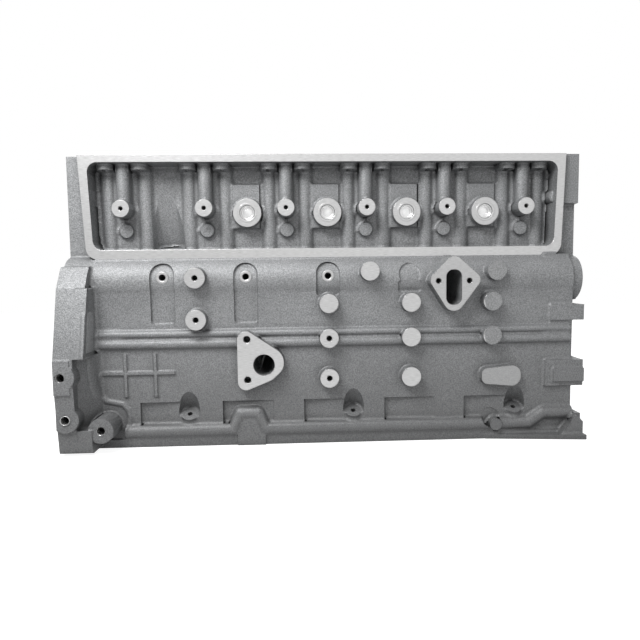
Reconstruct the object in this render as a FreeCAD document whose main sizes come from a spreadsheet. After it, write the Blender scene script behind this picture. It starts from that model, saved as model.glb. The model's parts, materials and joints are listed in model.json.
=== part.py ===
"""Bare cylinder block of an in-line six engine, with its caps, bolts and plugs.

The origin lies on the crankshaft axis, in the middle of the fourth main bearing.
X runs along the crankshaft from the front face to the rear face, Z runs up the
cylinders to the deck, and the camshaft lies on the -Y side.
"""

import FreeCAD, Part
import math
import os
import re

VECTOR = FreeCAD.Vector
CYLINDERS = 6
MAINS = 7

# ---------------------------------------------------------------- driving sizes
SIZES = {
    # whole block
    "bore_pitch": 120.0,
    "front_face": 380.0,
    "rear_face": 382.0,
    "deck_height": 323.0,
    "rail_drop": 103.0,
    # cylinders and water jacket
    "bore_radius": 51.0,
    "barrel_wall": 9.5,
    "jacket_bottom": 178.0,
    "jacket_cam": 68.0,
    "jacket_exhaust": 64.0,
    "jacket_end": 66.0,
    "deck_thickness": 20.0,
    "barrel_bulge": 77.5,
    "exhaust_wall": 74.0,
    "deck_edge": 98.0,
    # crankcase
    "skirt_cam": 134.0,
    "skirt_exhaust": 121.0,
    "skirt_wall": 14.0,
    "shoulder_low": 72.0,
    "shoulder_high": 128.0,
    "crank_swing": 108.0,
    "web_thickness": 15.0,
    "end_web": 17.0,
    "main_boss": 31.0,
    "main_boss_height": 66.0,
    "web_foot": 58.0,
    "rail_height": 12.0,
    "rail_exhaust": 134.0,
    # main bearings
    "main_radius": 44.0,
    "cap_half_width": 72.0,
    "cap_height": 62.0,
    "cap_shoulder": 46.0,
    "cap_thickness": 29.0,
    "cap_bolt_offset": 58.0,
    "cap_bolt_radius": 6.9,
    "cap_bolt_depth": 50.0,
    "cap_bolt_head": 11.5,
    "cap_bolt_head_height": 9.0,
    "cap_side_gap": 0.15,
    "press_gap": 0.05,
    "thread_gap": 0.1,
    "bolt_gap": 0.5,
    # camshaft and tappets
    "cam_offset": 98.0,
    "cam_height": 137.0,
    "cam_bore_radius": 27.5,
    "cam_barrel_radius": 39.0,
    "cam_tunnel_radius": 32.0,
    "bush_radius": 30.0,
    "bush_length": 20.0,
    "tappet_radius": 8.0,
    "tappet_spread": 25.0,
    "pushrod_radius": 9.0,
    # tappet bay and its cover frame
    "upper_wall": 102.0,
    "cover_face": 118.0,
    "cover_bottom": 172.0,
    "cover_front": 359.0,
    "cover_front_low": 351.0,
    "cover_rear": 359.5,
    "cover_rear_low": 354.0,
    "cover_corner": 18.0,
    "bay_front": 346.0,
    "bay_front_low": 341.0,
    "bay_rear": 347.5,
    "bay_rear_low": 343.0,
    "bay_bottom": 186.0,
    "bay_top": 312.0,
    "bay_floor": 84.0,
    "bay_corner": 14.0,
    "cover_bolt_height": 246.0,
    "cover_boss_radius": 12.5,
    "cover_hole_radius": 3.4,
    # core plugs
    "plug_height": 240.0,
    "plug_radius": 11.0,
    "plug_ring": 21.0,
    "plug_face": 104.0,
    "plug_wall": 2.0,
    "plug_depth": 8.0,
    "plug_sink": 1.0,
    "side_plug_radius": 20.0,
    "side_plug_ring": 27.0,
    "side_plug_face": 86.0,
    "cam_plug_depth": 10.0,
    # cam-side wall below the cover frame
    "slope_top": 112.0,
    "slope_foot": 130.0,
    "lug_face": 150.0,
    "lug_radius": 13.7,
    "lug_bolt_radius": 4.4,
    "slot_depth": 4.0,
    "slot_half_width": 17.5,
    "slot_foot": 77.0,
    "slot_head": 148.0,
    "ridge_upper": 63.0,
    "ridge_lower": 48.5,
    "ridge_radius": 7.0,
    "pad_face": 150.0,
    "pump_face": 158.0,
    "pump_offset": 180.0,
    "oil_port_offset": 95.0,
    "oil_port_height": 17.5,
    "oil_port_radius": 15.5,
    "panel_top": 37.5,
    "panel_half_width": 37.5,
    "panel_depth": 6.0,
    "panel_end_depth": 1.2,
    "blank_slot_depth": 2.0,
    "blank_slot_offset": 120.5,
    "scallop_radius": 24.0,
    "scallop_length": 92.0,
    "scallop_offset": 236.5,
    "scallop_out": 85.0,
    "scallop_wall": 5.0,
    "drain_radius": 5.0,
    "tube_height": 80.0,
    "tube_radius": 9.5,
    "rail_cam": 137.0,
    # end flanges
    "flange_face": 184.0,
    "flange_shoulder": 160.0,
    "flange_foot_face": 175.0,
    "flange_top": 132.0,
    "flange_roof": 162.0,
    "flange_knee": 35.0,
    "flange_thickness": 42.0,
    "flange_floor": 99.0,
    "rear_plate": 16.0,
    "rear_lug_face": 138.0,
    "rear_middle_face": 142.5,
    "rear_corner_face": 155.0,
    "rear_corner_end": 3.0,
    "rear_notch_floor": 100.0,
    "flare_start": 235.0,
    "flare_height": 7.0,
    # holes
    "head_bolt_radius": 6.0,
    "head_bolt_depth": 61.0,
    "head_bolt_row": 63.0,
    "head_bolt_outer": 86.0,
    "coolant_radius": 4.5,
    "rail_bolt_radius": 3.4,
    "end_bolt_radius": 4.25,
    "gallery_radius": 7.0,
    "gallery_tube": 15.0,
    "gallery_offset": 70.0,
    "gallery_height": 150.0,
    "gallery_plug_length": 12.0,
    # engine mounts on the exhaust side
    "mount_face": 132.0,
    "mount_radius": 14.0,
    "mount_hole": 5.3,
    # oil cooler pocket on the exhaust side
    "cooler_front": 332.0,
    "cooler_rear": 96.0,
    "cooler_bottom": 136.0,
    "cooler_top": 236.0,
    "cooler_rim": 13.0,
    "cooler_face": 114.0,
    "cooler_floor": 84.0,
}


def formula(text):
    """Return a formula with the sheet's name put before each of its sizes."""
    return re.sub(
        r"[a-z][a-z0-9_]*",
        lambda word: "dims." + word.group(0) if word.group(0) in SIZES else word.group(0),
        str(text),
    )


doc = FreeCAD.newDocument("cylinder_block")
sheet = doc.addObject("Spreadsheet::Sheet", "dims")
for row, (alias, size) in enumerate(SIZES.items(), start=1):
    sheet.set(f"A{row}", alias)
    sheet.set(f"B{row}", str(size))
    sheet.setAlias(f"B{row}", alias)
doc.recompute()


def number(text):
    """Work out a formula with the sheet's present sizes."""
    return float(sheet.evalExpression(formula(text)))


# ---------------------------------------------------------------- building blocks
DIRECTIONS = {"x": VECTOR(1, 0, 0), "y": VECTOR(0, 1, 0), "z": VECTOR(0, 0, 1)}
TURNS = {
    "x": FreeCAD.Rotation(VECTOR(0, 1, 0), 90),
    "y": FreeCAD.Rotation(VECTOR(1, 0, 0), -90),
    "z": FreeCAD.Rotation(),
}


def along(axis, start, flat):
    """Return the x, y and z formulas of a point: one along the axis, two across it."""
    first, second = flat
    places = {"x": (start, first, second), "y": (first, start, second), "z": (first, second, start)}
    return places[axis]


def place(item, position):
    """Tie an object's place to the sheet."""
    for letter, text in zip("xyz", position):
        item.setExpression(f"Placement.Base.{letter}", formula(text))
    return item


def box(name, x, y, z):
    """Make a box between pairs of formulas."""
    item = doc.addObject("Part::Box", name)
    for side, (low, high) in zip(("Length", "Width", "Height"), (x, y, z)):
        item.setExpression(side, formula(f"({high}) - ({low})"))
    return place(item, (x[0], y[0], z[0]))


def cylinder(name, axis, centre, span, radius):
    """Make a cylinder along an axis, round a centre given across that axis."""
    item = doc.addObject("Part::Cylinder", name)
    item.Placement = FreeCAD.Placement(VECTOR(), TURNS[axis])
    item.setExpression("Radius", formula(radius))
    item.setExpression("Height", formula(f"({span[1]}) - ({span[0]})"))
    return place(item, along(axis, span[0], centre))


def leaning_cylinder(name, position, lean, length, radius):
    """Make a cylinder that starts at a position and leans from upright towards -Y."""
    item = doc.addObject("Part::Cylinder", name)
    item.Placement = FreeCAD.Placement(VECTOR(), FreeCAD.Rotation(VECTOR(1, 0, 0), number(lean)))
    item.setExpression("Radius", formula(radius))
    item.setExpression("Height", formula(length))
    return place(item, position)


def rounded_wire(corners):
    """Join corners (point, radius) in a closed wire whose rounded corners are tangent arcs."""
    starts, ends, edges = [], [], []
    count = len(corners)
    for index, (point, radius) in enumerate(corners):
        back = (corners[index - 1][0] - point).normalize()
        ahead = (corners[(index + 1) % count][0] - point).normalize()
        half = back.getAngle(ahead) / 2
        reach = radius / math.tan(half)
        starts.append(point + back * reach)
        ends.append(point + ahead * reach)
        if radius > 0:
            middle = (back + ahead).normalize()
            crown = point + middle * (radius / math.sin(half) - radius)
            edges.append(Part.Arc(starts[-1], crown, ends[-1]).toShape())
        else:
            edges.append(None)
    outline = []
    for index in range(count):
        if edges[index] is not None:
            outline.append(edges[index])
        follower = starts[(index + 1) % count]
        if (follower - ends[index]).Length > 1e-6:
            outline.append(Part.makeLine(ends[index], follower))
    return Part.Wire(outline)


def prism(name, axis, points, span):
    """Make a straight piece along an axis from an outline of (a, b, corner radius) formulas."""
    corners = []
    for first, second, radius in points:
        flat = VECTOR(*(number(text) for text in along(axis, "0", (first, second))))
        corners.append((flat, number(radius)))
    outline = doc.addObject("Part::Feature", name + "_outline")
    outline.Shape = Part.Face(rounded_wire(corners))
    place(outline, along(axis, span[0], ("0", "0")))
    item = doc.addObject("Part::Extrusion", name)
    item.Base = outline
    item.DirMode = "Custom"
    item.Dir = DIRECTIONS[axis]
    item.Solid = True
    item.setExpression("LengthFwd", formula(f"({span[1]}) - ({span[0]})"))
    return item


def fuse(name, pieces):
    """Join pieces into one."""
    item = doc.addObject("Part::MultiFuse", name)
    item.Shapes = pieces
    return item


def group(name, pieces):
    """Hold separate pieces together without joining them."""
    item = doc.addObject("Part::Compound", name)
    item.Links = pieces
    return item


def cut(name, base, tool):
    """Take a tool away from a base."""
    item = doc.addObject("Part::Cut", name)
    item.Base = base
    item.Tool = tool
    return item


def cylinder_place(index):
    """Return the x formula of a cylinder's axis, counted from 0 at the front."""
    return f"{index - (CYLINDERS - 1) / 2} * bore_pitch"


def main_place(index):
    """Return the x formula of a main bearing's middle, counted from 0 at the front."""
    return f"{index - (MAINS - 1) / 2} * bore_pitch"


def bay_span(index):
    """Return the x span between two main bearing webs."""
    front = f"{main_place(index)} + web_thickness / 2"
    rear = f"{main_place(index + 1)} - web_thickness / 2"
    if index == 0:
        front = "-front_face + end_web"
    if index == CYLINDERS - 1:
        rear = "rear_face - end_web"
    return front, rear


WHOLE = ("-front_face", "rear_face")
THROUGH = ("-front_face - 1", "rear_face + 1")


# ---------------------------------------------------------------- casting, outside
def outer_wall(name, inset):
    """Make the block's long outer form; the cam side is set in by the inset."""
    wall = prism(
        name + "_section",
        "x",
        (
            ("-upper_wall", "deck_height", 0),
            ("-upper_wall", "cover_bottom + 5", 0),
            (f"-slope_top + {inset}", "cover_bottom", 0),
            (f"-skirt_cam + {inset}", "slope_foot", 14),
            (f"-skirt_cam + {inset}", "-rail_drop", 0),
            ("skirt_exhaust", "-rail_drop", 0),
            ("skirt_exhaust", "shoulder_low", 24),
            ("exhaust_wall", "shoulder_high", 20),
            ("exhaust_wall", "deck_height - deck_thickness - 14", 6),
            ("deck_edge", "deck_height - deck_thickness", 0),
            ("deck_edge", "deck_height", 0),
        ),
        WHOLE,
    )
    barrel = cylinder(
        name + "_cam_barrel", "x", ("-cam_offset", "cam_height"), WHOLE, f"cam_barrel_radius - {inset}"
    )
    return fuse(name, [wall, barrel])


def exhaust_barrels():
    """Bulges of the jacket's outer wall round each cylinder."""
    span = ("shoulder_high - 20", "deck_height - 4")
    return [
        cylinder(f"barrel_{index + 1}", "z", (cylinder_place(index), "0"), span, "barrel_bulge")
        for index in range(CYLINDERS)
    ]


def exhaust_bolt_columns():
    """Half-round columns under the deck that carry the outer head bolts."""
    span = ("deck_height - head_bolt_depth - 16", "deck_height - 4")
    return [
        cylinder(
            f"head_bolt_column_{index + 1}",
            "z",
            (cylinder_place(index), "head_bolt_outer - 2"),
            span,
            "head_bolt_radius + 6",
        )
        for index in range(CYLINDERS)
    ]


def cover_frame():
    """Raised frame that the tappet cover is bolted to."""
    return prism(
        "cover_frame",
        "y",
        (
            ("-cover_front", "deck_height", 0),
            ("-cover_front_low", "cover_bottom", "cover_corner"),
            ("cover_rear_low", "cover_bottom", "cover_corner"),
            ("cover_rear", "deck_height", 0),
        ),
        ("-cover_face", "-upper_wall + 8"),
    )


def pan_rails():
    """Flanges along the bottom that the oil pan is bolted to."""
    cam = box(
        "pan_rail_cam",
        WHOLE,
        ("-rail_cam", "-skirt_cam + 2"),
        ("-rail_drop", "rail_height - rail_drop"),
    )
    step = prism(
        "pan_rail_flare",
        "z",
        (
            ("flare_start", "-skirt_cam + 2", 0),
            ("flare_start", "-rail_cam - 1", 0),
            ("rear_face - rear_corner_end", "-rear_corner_face", 0),
            ("rear_face", "-rear_corner_face", 0),
            ("rear_face", "-skirt_cam + 2", 0),
        ),
        ("-rail_drop", "flare_height - rail_drop"),
    )
    exhaust = box(
        "pan_rail_exhaust",
        WHOLE,
        ("skirt_exhaust - 2", "rail_exhaust"),
        ("-rail_drop", "rail_height - rail_drop"),
    )
    return [cam, step, exhaust]


def wall_ridges():
    """Two half-round ridges along the cam side, and the tube along the pan rail."""
    span = ("-front_face + 20", "rear_face - rear_plate - 4")
    upper = cylinder("ridge_upper", "x", ("-skirt_cam", "ridge_upper"), span, "ridge_radius - 1.5")
    lower = cylinder("ridge_lower", "x", ("-skirt_cam", "ridge_lower"), span, "ridge_radius")
    return [upper, lower]


TUBE_RISE = ("300", "322")
TUBE_END = "-tube_height + 15"


def rail_tube():
    """Half-round tube along the pan rail, which climbs over an arch near the second web."""
    place_y = "-skirt_cam + 1"
    left = "-bore_pitch - 22"
    right = "-bore_pitch + 24"
    height = "-tube_height"
    lift = "-tube_height + 24"
    pieces = [
        cylinder("rail_tube_front", "x", (place_y, height), ("-299", left), "tube_radius"),
        cylinder("rail_tube_rear", "x", (place_y, height), (right, TUBE_RISE[0]), "tube_radius"),
        cylinder("rail_tube_end", "x", (place_y, TUBE_END), (TUBE_RISE[1], "rear_face - rear_plate"), "tube_radius"),
        cylinder("rail_tube_top", "x", (place_y, lift), ("-bore_pitch - 12", "-bore_pitch + 14"), "tube_radius"),
    ]
    for name, low, high, top in (
        ("front", left, "-bore_pitch - 12", lift),
        ("rear", right, "-bore_pitch + 14", lift),
        ("end", TUBE_RISE[0], TUBE_RISE[1], TUBE_END),
    ):
        climb = number(top) - number(height)
        run = number(high) - number(low)
        slant = doc.addObject("Part::Cylinder", f"rail_tube_climb_{name}")
        turn = FreeCAD.Rotation(VECTOR(0, 0, 1), VECTOR(run, 0, climb))
        slant.Placement = FreeCAD.Placement(VECTOR(), turn)
        slant.Height = math.hypot(climb, run)
        slant.setExpression("Radius", formula("tube_radius"))
        pieces.append(place(slant, (low, place_y, height)))
        for end, x, z in (("foot", low, height), ("head", high, top)):
            ball = doc.addObject("Part::Sphere", f"rail_tube_{end}_{name}")
            ball.setExpression("Radius", formula("tube_radius"))
            pieces.append(place(ball, (x, place_y, z)))
    plate = box(
        "rail_arch_plate",
        ("-bore_pitch - 16", "-bore_pitch + 25"),
        ("-rail_cam - 3", "-skirt_cam + 2"),
        ("-rail_drop", "rail_height - rail_drop + 27"),
    )
    return pieces + [plate]


# Round lugs on the cam side: name, x, z, radius, drilled
LUGS = (
    ("lug_a", "-1.592 * bore_pitch", "144", "lug_radius + 1", True),
    ("lug_b", "-1.592 * bore_pitch", "84", "lug_radius + 1", True),
    ("lug_c", "0", "105", "lug_radius", False),
    ("lug_d", "0", "54.5", "lug_radius", True),
    ("lug_e", "0", "-4", "lug_radius", True),
    ("lug_f", "bore_pitch / 2", "151", "lug_radius", False),
    ("lug_g", "bore_pitch", "105", "lug_radius", False),
    ("lug_h", "bore_pitch", "54.5", "lug_radius", False),
    ("lug_i", "bore_pitch", "-4", "lug_radius + 0.5", False),
    ("lug_j", "2.05 * bore_pitch", "150", "lug_radius + 0.5", False),
    ("lug_k", "2 * bore_pitch", "105", "lug_radius", False),
    ("lug_l", "2 * bore_pitch", "55", "lug_radius", False),
)


def lugs():
    """Machined round lugs on the cam side, some drilled."""
    pieces = [
        cylinder(name, "y", (x, z), ("-lug_face", "-upper_wall + 4"), radius)
        for name, x, z, radius, drilled in LUGS
    ]
    return pieces


def long_lug():
    """Long lug, wider at its rear end, whose foot the third leaning lug's clearance leaves alone."""
    return prism(
        "long_lug",
        "y",
        (
            ("1.882 * bore_pitch", "-17", 8.5),
            ("1.882 * bore_pitch", "5", 8.5),
            ("2.37 * bore_pitch", "10.5", 13.5),
            ("2.37 * bore_pitch", "-22.5", 13.5),
        ),
        ("-lug_face + 4", "-skirt_cam + 4"),
    )


def lug_holes():
    """Blind tapped holes in the drilled lugs."""
    return [
        cylinder(name + "_hole", "y", (x, z), ("-lug_face - 1", "-lug_face + 24"), "lug_bolt_radius")
        for name, x, z, radius, drilled in LUGS
        if drilled
    ]


def rail_boss():
    """Small round boss on the rear part of the pan rail."""
    return cylinder("rail_boss", "y", ("249", "-tube_height"), ("-rail_cam - 7", "-skirt_cam + 4"), "9")


def rail_boss_clearance():
    """Room for a tool beside the small rail boss."""
    return cylinder("rail_boss_clearance", "y", ("243", "-tube_height + 9"), ("-rail_cam - 12", "-skirt_cam + 4"), "14")


def pump_pad():
    """Diamond pad for the fuel lift pump."""
    return prism(
        "pump_pad",
        "y",
        (
            ("pump_offset - 37", "cam_height + 1", 11),
            ("pump_offset - 1", "cam_height + 39", 13),
            ("pump_offset + 42", "cam_height + 1", 11),
            ("pump_offset - 1", "cam_height - 56", 15),
        ),
        ("-pump_face", "-upper_wall"),
    )


def oil_port_pad():
    """Three-cornered pad round the oil port."""
    return prism(
        "oil_port_pad",
        "y",
        (
            ("-oil_port_offset - 38", "oil_port_height + 60", 12),
            ("-oil_port_offset + 42", "oil_port_height + 6", 22),
            ("-oil_port_offset + 12", "oil_port_height - 22", 22),
            ("-oil_port_offset - 38", "oil_port_height - 42", 12),
        ),
        ("-pad_face", "-skirt_cam + 4"),
    )


LEANING_LUGS = ("-1.722 * bore_pitch", "0.3 * bore_pitch", "2.33 * bore_pitch")
LEAN = "33"


def leaning_lugs():
    """Short round lugs that lean out over the pan rail."""
    pieces = []
    for index, x in enumerate(LEANING_LUGS):
        pieces.append(
            leaning_cylinder(f"leaning_lug_{index + 1}", (x, "-skirt_cam + 20", "-79"), LEAN, "27", "12.5")
        )
    return pieces


def leaning_cuts():
    """Tool clearance above each leaning lug, and its hole."""
    pieces = []
    for index, x in enumerate(LEANING_LUGS):
        start = (x, "-skirt_cam + 4", "-57")
        pieces.append(leaning_cylinder(f"leaning_clearance_{index + 1}", start, LEAN, "60", "15.5"))
        deep = (x, "-skirt_cam + 11", "-66")
        pieces.append(leaning_cylinder(f"leaning_hole_{index + 1}", deep, LEAN, "14", "3.6"))
    return pieces


def flange_plate(name, knee, floor, thickness):
    """Part of the front flange whose face slopes out from its shoulder to its knee."""
    return prism(
        name,
        "x",
        (
            ("-skirt_cam + 10", "flange_top", 0),
            ("-flange_shoulder", "flange_top", 4),
            ("-flange_face", knee, 0),
            ("-flange_face", floor, 0),
            ("-skirt_cam + 10", floor, 0),
        ),
        ("-front_face", f"-front_face + {thickness}"),
    )


def front_flange():
    """Deep front flange that the gear housing is bolted to."""
    back = prism(
        "front_flange",
        "x",
        (
            ("-skirt_cam + 10", "flange_roof", 0),
            ("-skirt_cam - 6", "flange_roof", 4),
            ("-flange_shoulder", "flange_top", 4),
            ("-flange_face", "flange_knee", 0),
            ("-flange_face", "-15", 0),
            ("-flange_foot_face", "-flange_floor", 4),
            ("-skirt_cam + 10", "-flange_floor", 0),
        ),
        ("-front_face", "-front_face + 26"),
    )
    upper = flange_plate("front_flange_upper", "flange_knee + 2", "flange_knee", "flange_thickness")
    roof = prism(
        "front_flange_roof",
        "x",
        (
            ("-skirt_cam + 10", "flange_roof", 0),
            ("-skirt_cam - 6", "flange_roof", 4),
            ("-flange_shoulder", "flange_top", 0),
            ("-skirt_cam + 10", "flange_top", 0),
        ),
        ("-front_face", "-front_face + flange_thickness - 3"),
    )
    lower = prism(
        "front_flange_lower",
        "x",
        (
            ("-skirt_cam + 10", "-66", 0),
            ("-flange_foot_face - 3", "-66", 0),
            ("-flange_foot_face", "-flange_floor", 4),
            ("-skirt_cam + 10", "-flange_floor", 0),
        ),
        ("-front_face", "-front_face + 46"),
    )
    foot = cylinder(
        "front_flange_foot", "y", ("-front_face + 57.5", "-67.5"), ("-flange_foot_face", "-skirt_cam + 8"), "17.7"
    )
    boss_low = cylinder(
        "front_boss_low", "y", ("-front_face + 12.5", "-49.4"), ("-flange_face + 2", "-skirt_cam + 10"), "18.5"
    )
    boss_high = cylinder(
        "front_boss_high", "y", ("-front_face + 10", "10"), ("-flange_face - 2", "-skirt_cam + 10"), "18.8"
    )
    boss_web = box(
        "front_boss_web",
        ("-front_face", "-front_face + 22"),
        ("-flange_face - 2", "-skirt_cam + 10"),
        ("-14", "34"),
    )
    slope = prism(
        "front_flange_slope",
        "z",
        (
            ("-front_face + 24", "-skirt_cam + 6", 0),
            ("-front_face + 24", "-flange_foot_face + 3", 0),
            ("-front_face + 47", "-skirt_cam - 4", 0),
            ("-front_face + 53", "-skirt_cam + 6", 0),
        ),
        ("-67", "flange_knee + 2"),
    )
    return [back, upper, roof, lower, foot, boss_low, boss_high, boss_web, slope]


def front_boss_trim():
    """Anything of the front bosses that would stand past the front face."""
    return box(
        "front_trim",
        ("-front_face - 60", "-front_face"),
        ("-flange_face - 20", "rail_exhaust + 20"),
        ("-rail_drop - 20", "deck_height + 20"),
    )


def front_boss_holes():
    """Tapped holes in the front bosses."""
    return [
        cylinder("front_hole_high", "y", ("-front_face + 9", "10"), ("-flange_face - 3", "-flange_face + 26"), "6.4"),
        cylinder("front_hole_low", "y", ("-front_face + 12.5", "-49.4"), ("-flange_face - 3", "-flange_face + 26"), "6.4"),
        cylinder("front_hole_foot", "y", ("-front_face + 57.5", "-67.5"), ("-flange_face", "-flange_face + 32"), "6.2"),
    ]


# Bars on the rear corner of the cam side: name, length, end, low z, high z, face
REAR_BARS = (
    ("rear_bar_upper", "50", "rear_face", "75", "98", "rear_lug_face"),
    ("rear_bar_middle", "57", "rear_face", "-24", "15", "rear_middle_face - 4"),
    ("rear_bar_middle_face", "46", "rear_face", "-17", "2.5", "rear_middle_face"),
    ("rear_bar_top", "24", "rear_face", "250", "deck_height", "cover_face - 6"),
)


def rear_bars():
    """Bars that carry the flywheel housing bolts, and the corner plate below them."""
    bars = [
        box(name, (f"rear_face - {length}", end), (f"-({face})", "-upper_wall + 4"), (low, high))
        for name, length, end, low, high, face in REAR_BARS
    ]
    corner = prism(
        "rear_corner",
        "y",
        (
            ("rear_face - 44", "-rail_drop", 0),
            ("rear_face - rear_corner_end", "-rail_drop", 0),
            ("rear_face - rear_corner_end", "-77", 0),
            ("rear_face - rear_plate", "-64", 0),
            ("rear_face - 22", "-80", 5),
        ),
        ("-rear_corner_face + 6", "-upper_wall + 4"),
    )
    pad = box("rear_frame_pad", ("327", "375"), ("-cover_face - 2", "-upper_wall + 4"), ("158", "cover_bottom + 2"))
    return bars + [corner, pad]


def rear_notches():
    """Hollows between the bars, where the rear plate stops short of the long wall."""
    depth = ("rear_face - rear_plate", "rear_face + 1")
    lows = (("15", "75"), ("98", "250"), ("-68", "-24"))
    notches = [
        box(f"rear_notch_{index + 1}", depth, ("-rear_corner_face - 20", "-rear_notch_floor"), heights)
        for index, heights in enumerate(lows)
    ]
    barrel = cylinder("rear_cam_end", "x", ("-cam_offset", "cam_height"), depth, "cam_barrel_radius - 5")
    return [notches[0], cut("rear_notch_round_cam", notches[1], barrel), notches[2]]


def cross_ribs():
    """Thin cast ribs near the front."""
    face = ("-skirt_cam - 3", "-skirt_cam + 2")
    return [
        box("rib_long", ("-front_face + 50", "-front_face + 154"), face, ("4.5", "8.5")),
        box("rib_front", ("-front_face + 81.5", "-front_face + 85.5"), face, ("-28", "35")),
        box("rib_rear", ("-front_face + 124.5", "-front_face + 128.5"), face, ("-28", "35")),
    ]


def wall_slots():
    """Arched recesses in the cam side that follow its outer form."""
    slots = []
    for index, (x, foot) in enumerate(
        (("-2 * bore_pitch", "slot_foot"), ("-bore_pitch", "slot_foot"), ("0", "slot_foot + 38"))
    ):
        slots.append(
            prism(
                f"slot_{index + 1}",
                "y",
                (
                    (f"{x} - slot_half_width", foot, 6),
                    (f"{x} + slot_half_width", foot, 6),
                    (f"{x} + slot_half_width", "slot_head + slot_half_width", "slot_half_width - 0.5"),
                    (f"{x} - slot_half_width", "slot_head + slot_half_width", "slot_half_width - 0.5"),
                ),
                ("-skirt_cam - 10", "-upper_wall"),
            )
        )
    return [cut("wall_slots", group("slot_prisms", slots), outer_wall("slot_floor", "slot_depth")), blank_slot()]


def blank_slot():
    """Shallow pinched recess where the fourth slot would be."""
    reach = ("-skirt_cam - 10", "-upper_wall")
    arch = cylinder("blank_arch", "y", ("blank_slot_offset", "cam_height + 9"), reach, "slot_half_width - 1")
    foot = prism(
        "blank_foot",
        "y",
        (
            ("blank_slot_offset - slot_half_width", "slot_foot + 42", 5),
            ("blank_slot_offset + slot_half_width", "slot_foot + 42", 5),
            ("blank_slot_offset + slot_half_width", "cam_height", 4),
            ("blank_slot_offset - slot_half_width", "cam_height", 4),
        ),
        reach,
    )
    return cut("blank_slot", group("blank_prisms", [arch, foot]), outer_wall("blank_floor", "blank_slot_depth"))


def slot_bosses():
    """Small drilled bosses at the head of each slot."""
    return [
        cylinder(f"slot_boss_{index + 1}", "y", (x, "cam_height + 8"), ("-skirt_cam + 7", "-upper_wall"), "8.7")
        for index, x in enumerate(("-2 * bore_pitch", "-bore_pitch", "0"))
    ]


def slot_holes():
    """Drillings into the cam tunnel from the slots."""
    return [
        cylinder(f"slot_hole_{index + 1}", "y", (x, "cam_height + 8"), ("-skirt_cam", "-upper_wall"), "4.6")
        for index, x in enumerate(("-2 * bore_pitch", "-bore_pitch", "0"))
    ]


def wall_panels():
    """Shallow panels low on the cam side, one at each inner web, deeper at their front ends."""
    pieces = []
    for index in range(1, MAINS - 1):
        x = main_place(index)
        pieces.append(
            prism(
                f"panel_{index}",
                "z",
                (
                    (f"{x} - panel_half_width", "-skirt_cam - 1", 0),
                    (f"{x} - panel_half_width", "-skirt_cam + panel_depth", 2),
                    (f"{x} + panel_half_width", "-skirt_cam + panel_end_depth", 0),
                    (f"{x} + panel_half_width", "-skirt_cam - 1", 0),
                ),
                ("-tube_height", "-panel_top"),
            )
        )
    return pieces


# ---------------------------------------------------------------- casting, inside
def crankcase_bays():
    """Rooms between the webs in which the crank turns."""
    pieces = []
    for index in range(CYLINDERS):
        pieces.append(
            prism(
                f"crank_bay_{index + 1}",
                "x",
                (
                    ("-skirt_cam + skirt_wall", "-rail_drop - 1", 0),
                    ("-skirt_cam + skirt_wall", "crank_swing", 72),
                    ("skirt_exhaust - skirt_wall", "crank_swing", 60),
                    ("skirt_exhaust - skirt_wall", "-rail_drop - 1", 0),
                ),
                bay_span(index),
            )
        )
    return group("crank_bays", pieces)


def cam_tunnel():
    """Wider rooms of the cam tunnel between its bearings, open to the crankcase below."""
    rooms = []
    for index in range(CYLINDERS):
        span = bay_span(index)
        room = cylinder(f"cam_room_{index + 1}", "x", ("-cam_offset", "cam_height"), span, "cam_tunnel_radius")
        drop = box(
            f"cam_drop_{index + 1}",
            span,
            ("-cam_offset - 20", "-cam_offset + 20"),
            ("cam_height - 80", "cam_height"),
        )
        rooms.append(fuse(f"cam_space_{index + 1}", [room, drop]))
    return group("cam_spaces", rooms)


def water_jacket():
    """Room for the coolant round the joined barrels and the head bolt bosses."""
    span = ("jacket_bottom", "deck_height - deck_thickness")
    reach = f"{(CYLINDERS - 1) / 2} * bore_pitch + jacket_end"
    room = box("jacket_room", (f"-({reach})", reach), ("-jacket_cam", "jacket_exhaust"), span)
    cores = [scallop_form("scallop_core", "scallop_radius + scallop_wall")]
    cores.append(
        cylinder(
            "scallop_core_foot",
            "z",
            ("-scallop_offset", "-scallop_out"),
            ("jacket_bottom", "bay_bottom + 2"),
            "scallop_radius + scallop_wall",
        )
    )
    for index in range(CYLINDERS):
        centre = (cylinder_place(index), "0")
        cores.append(cylinder(f"barrel_core_{index + 1}", "z", centre, span, "bore_radius + barrel_wall"))
    for index in range(MAINS):
        for side in ("-", "+"):
            cores.append(
                cylinder(
                    f"bolt_core_{index + 1}_{'cam' if side == '-' else 'exhaust'}",
                    "z",
                    (main_place(index), f"0 {side} head_bolt_row"),
                    ("deck_height - head_bolt_depth - 7", "deck_height - deck_thickness"),
                    "head_bolt_radius + 6",
                )
            )
    return cut("water_jacket", room, fuse("jacket_cores", cores))


def web_cuts():
    """Seats for the main caps, and the open space under the webs."""
    seat = box(
        "cap_seat",
        THROUGH,
        ("-cap_half_width - cap_side_gap", "cap_half_width + cap_side_gap"),
        ("-rail_drop - 1", "0"),
    )
    under = box(
        "web_underside",
        ("-front_face + end_web", "rear_face - end_web"),
        ("-skirt_cam + skirt_wall", "skirt_exhaust - skirt_wall"),
        ("-rail_drop - 1", "-web_foot"),
    )
    return fuse("web_cuts", [seat, under])


def main_bosses():
    """Thick bosses round the main bearings, on the thin webs."""
    pieces = []
    for index in range(MAINS):
        x = main_place(index)
        pieces.append(
            prism(
                f"main_boss_{index + 1}",
                "x",
                (
                    ("-cap_half_width - 3", "0", 0),
                    ("cap_half_width + 3", "0", 0),
                    ("cap_half_width + 3", "main_boss_height", 34),
                    ("-cap_half_width - 3", "main_boss_height", 34),
                ),
                (f"{x} - main_boss / 2", f"{x} + main_boss / 2"),
            )
        )
    return pieces


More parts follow.
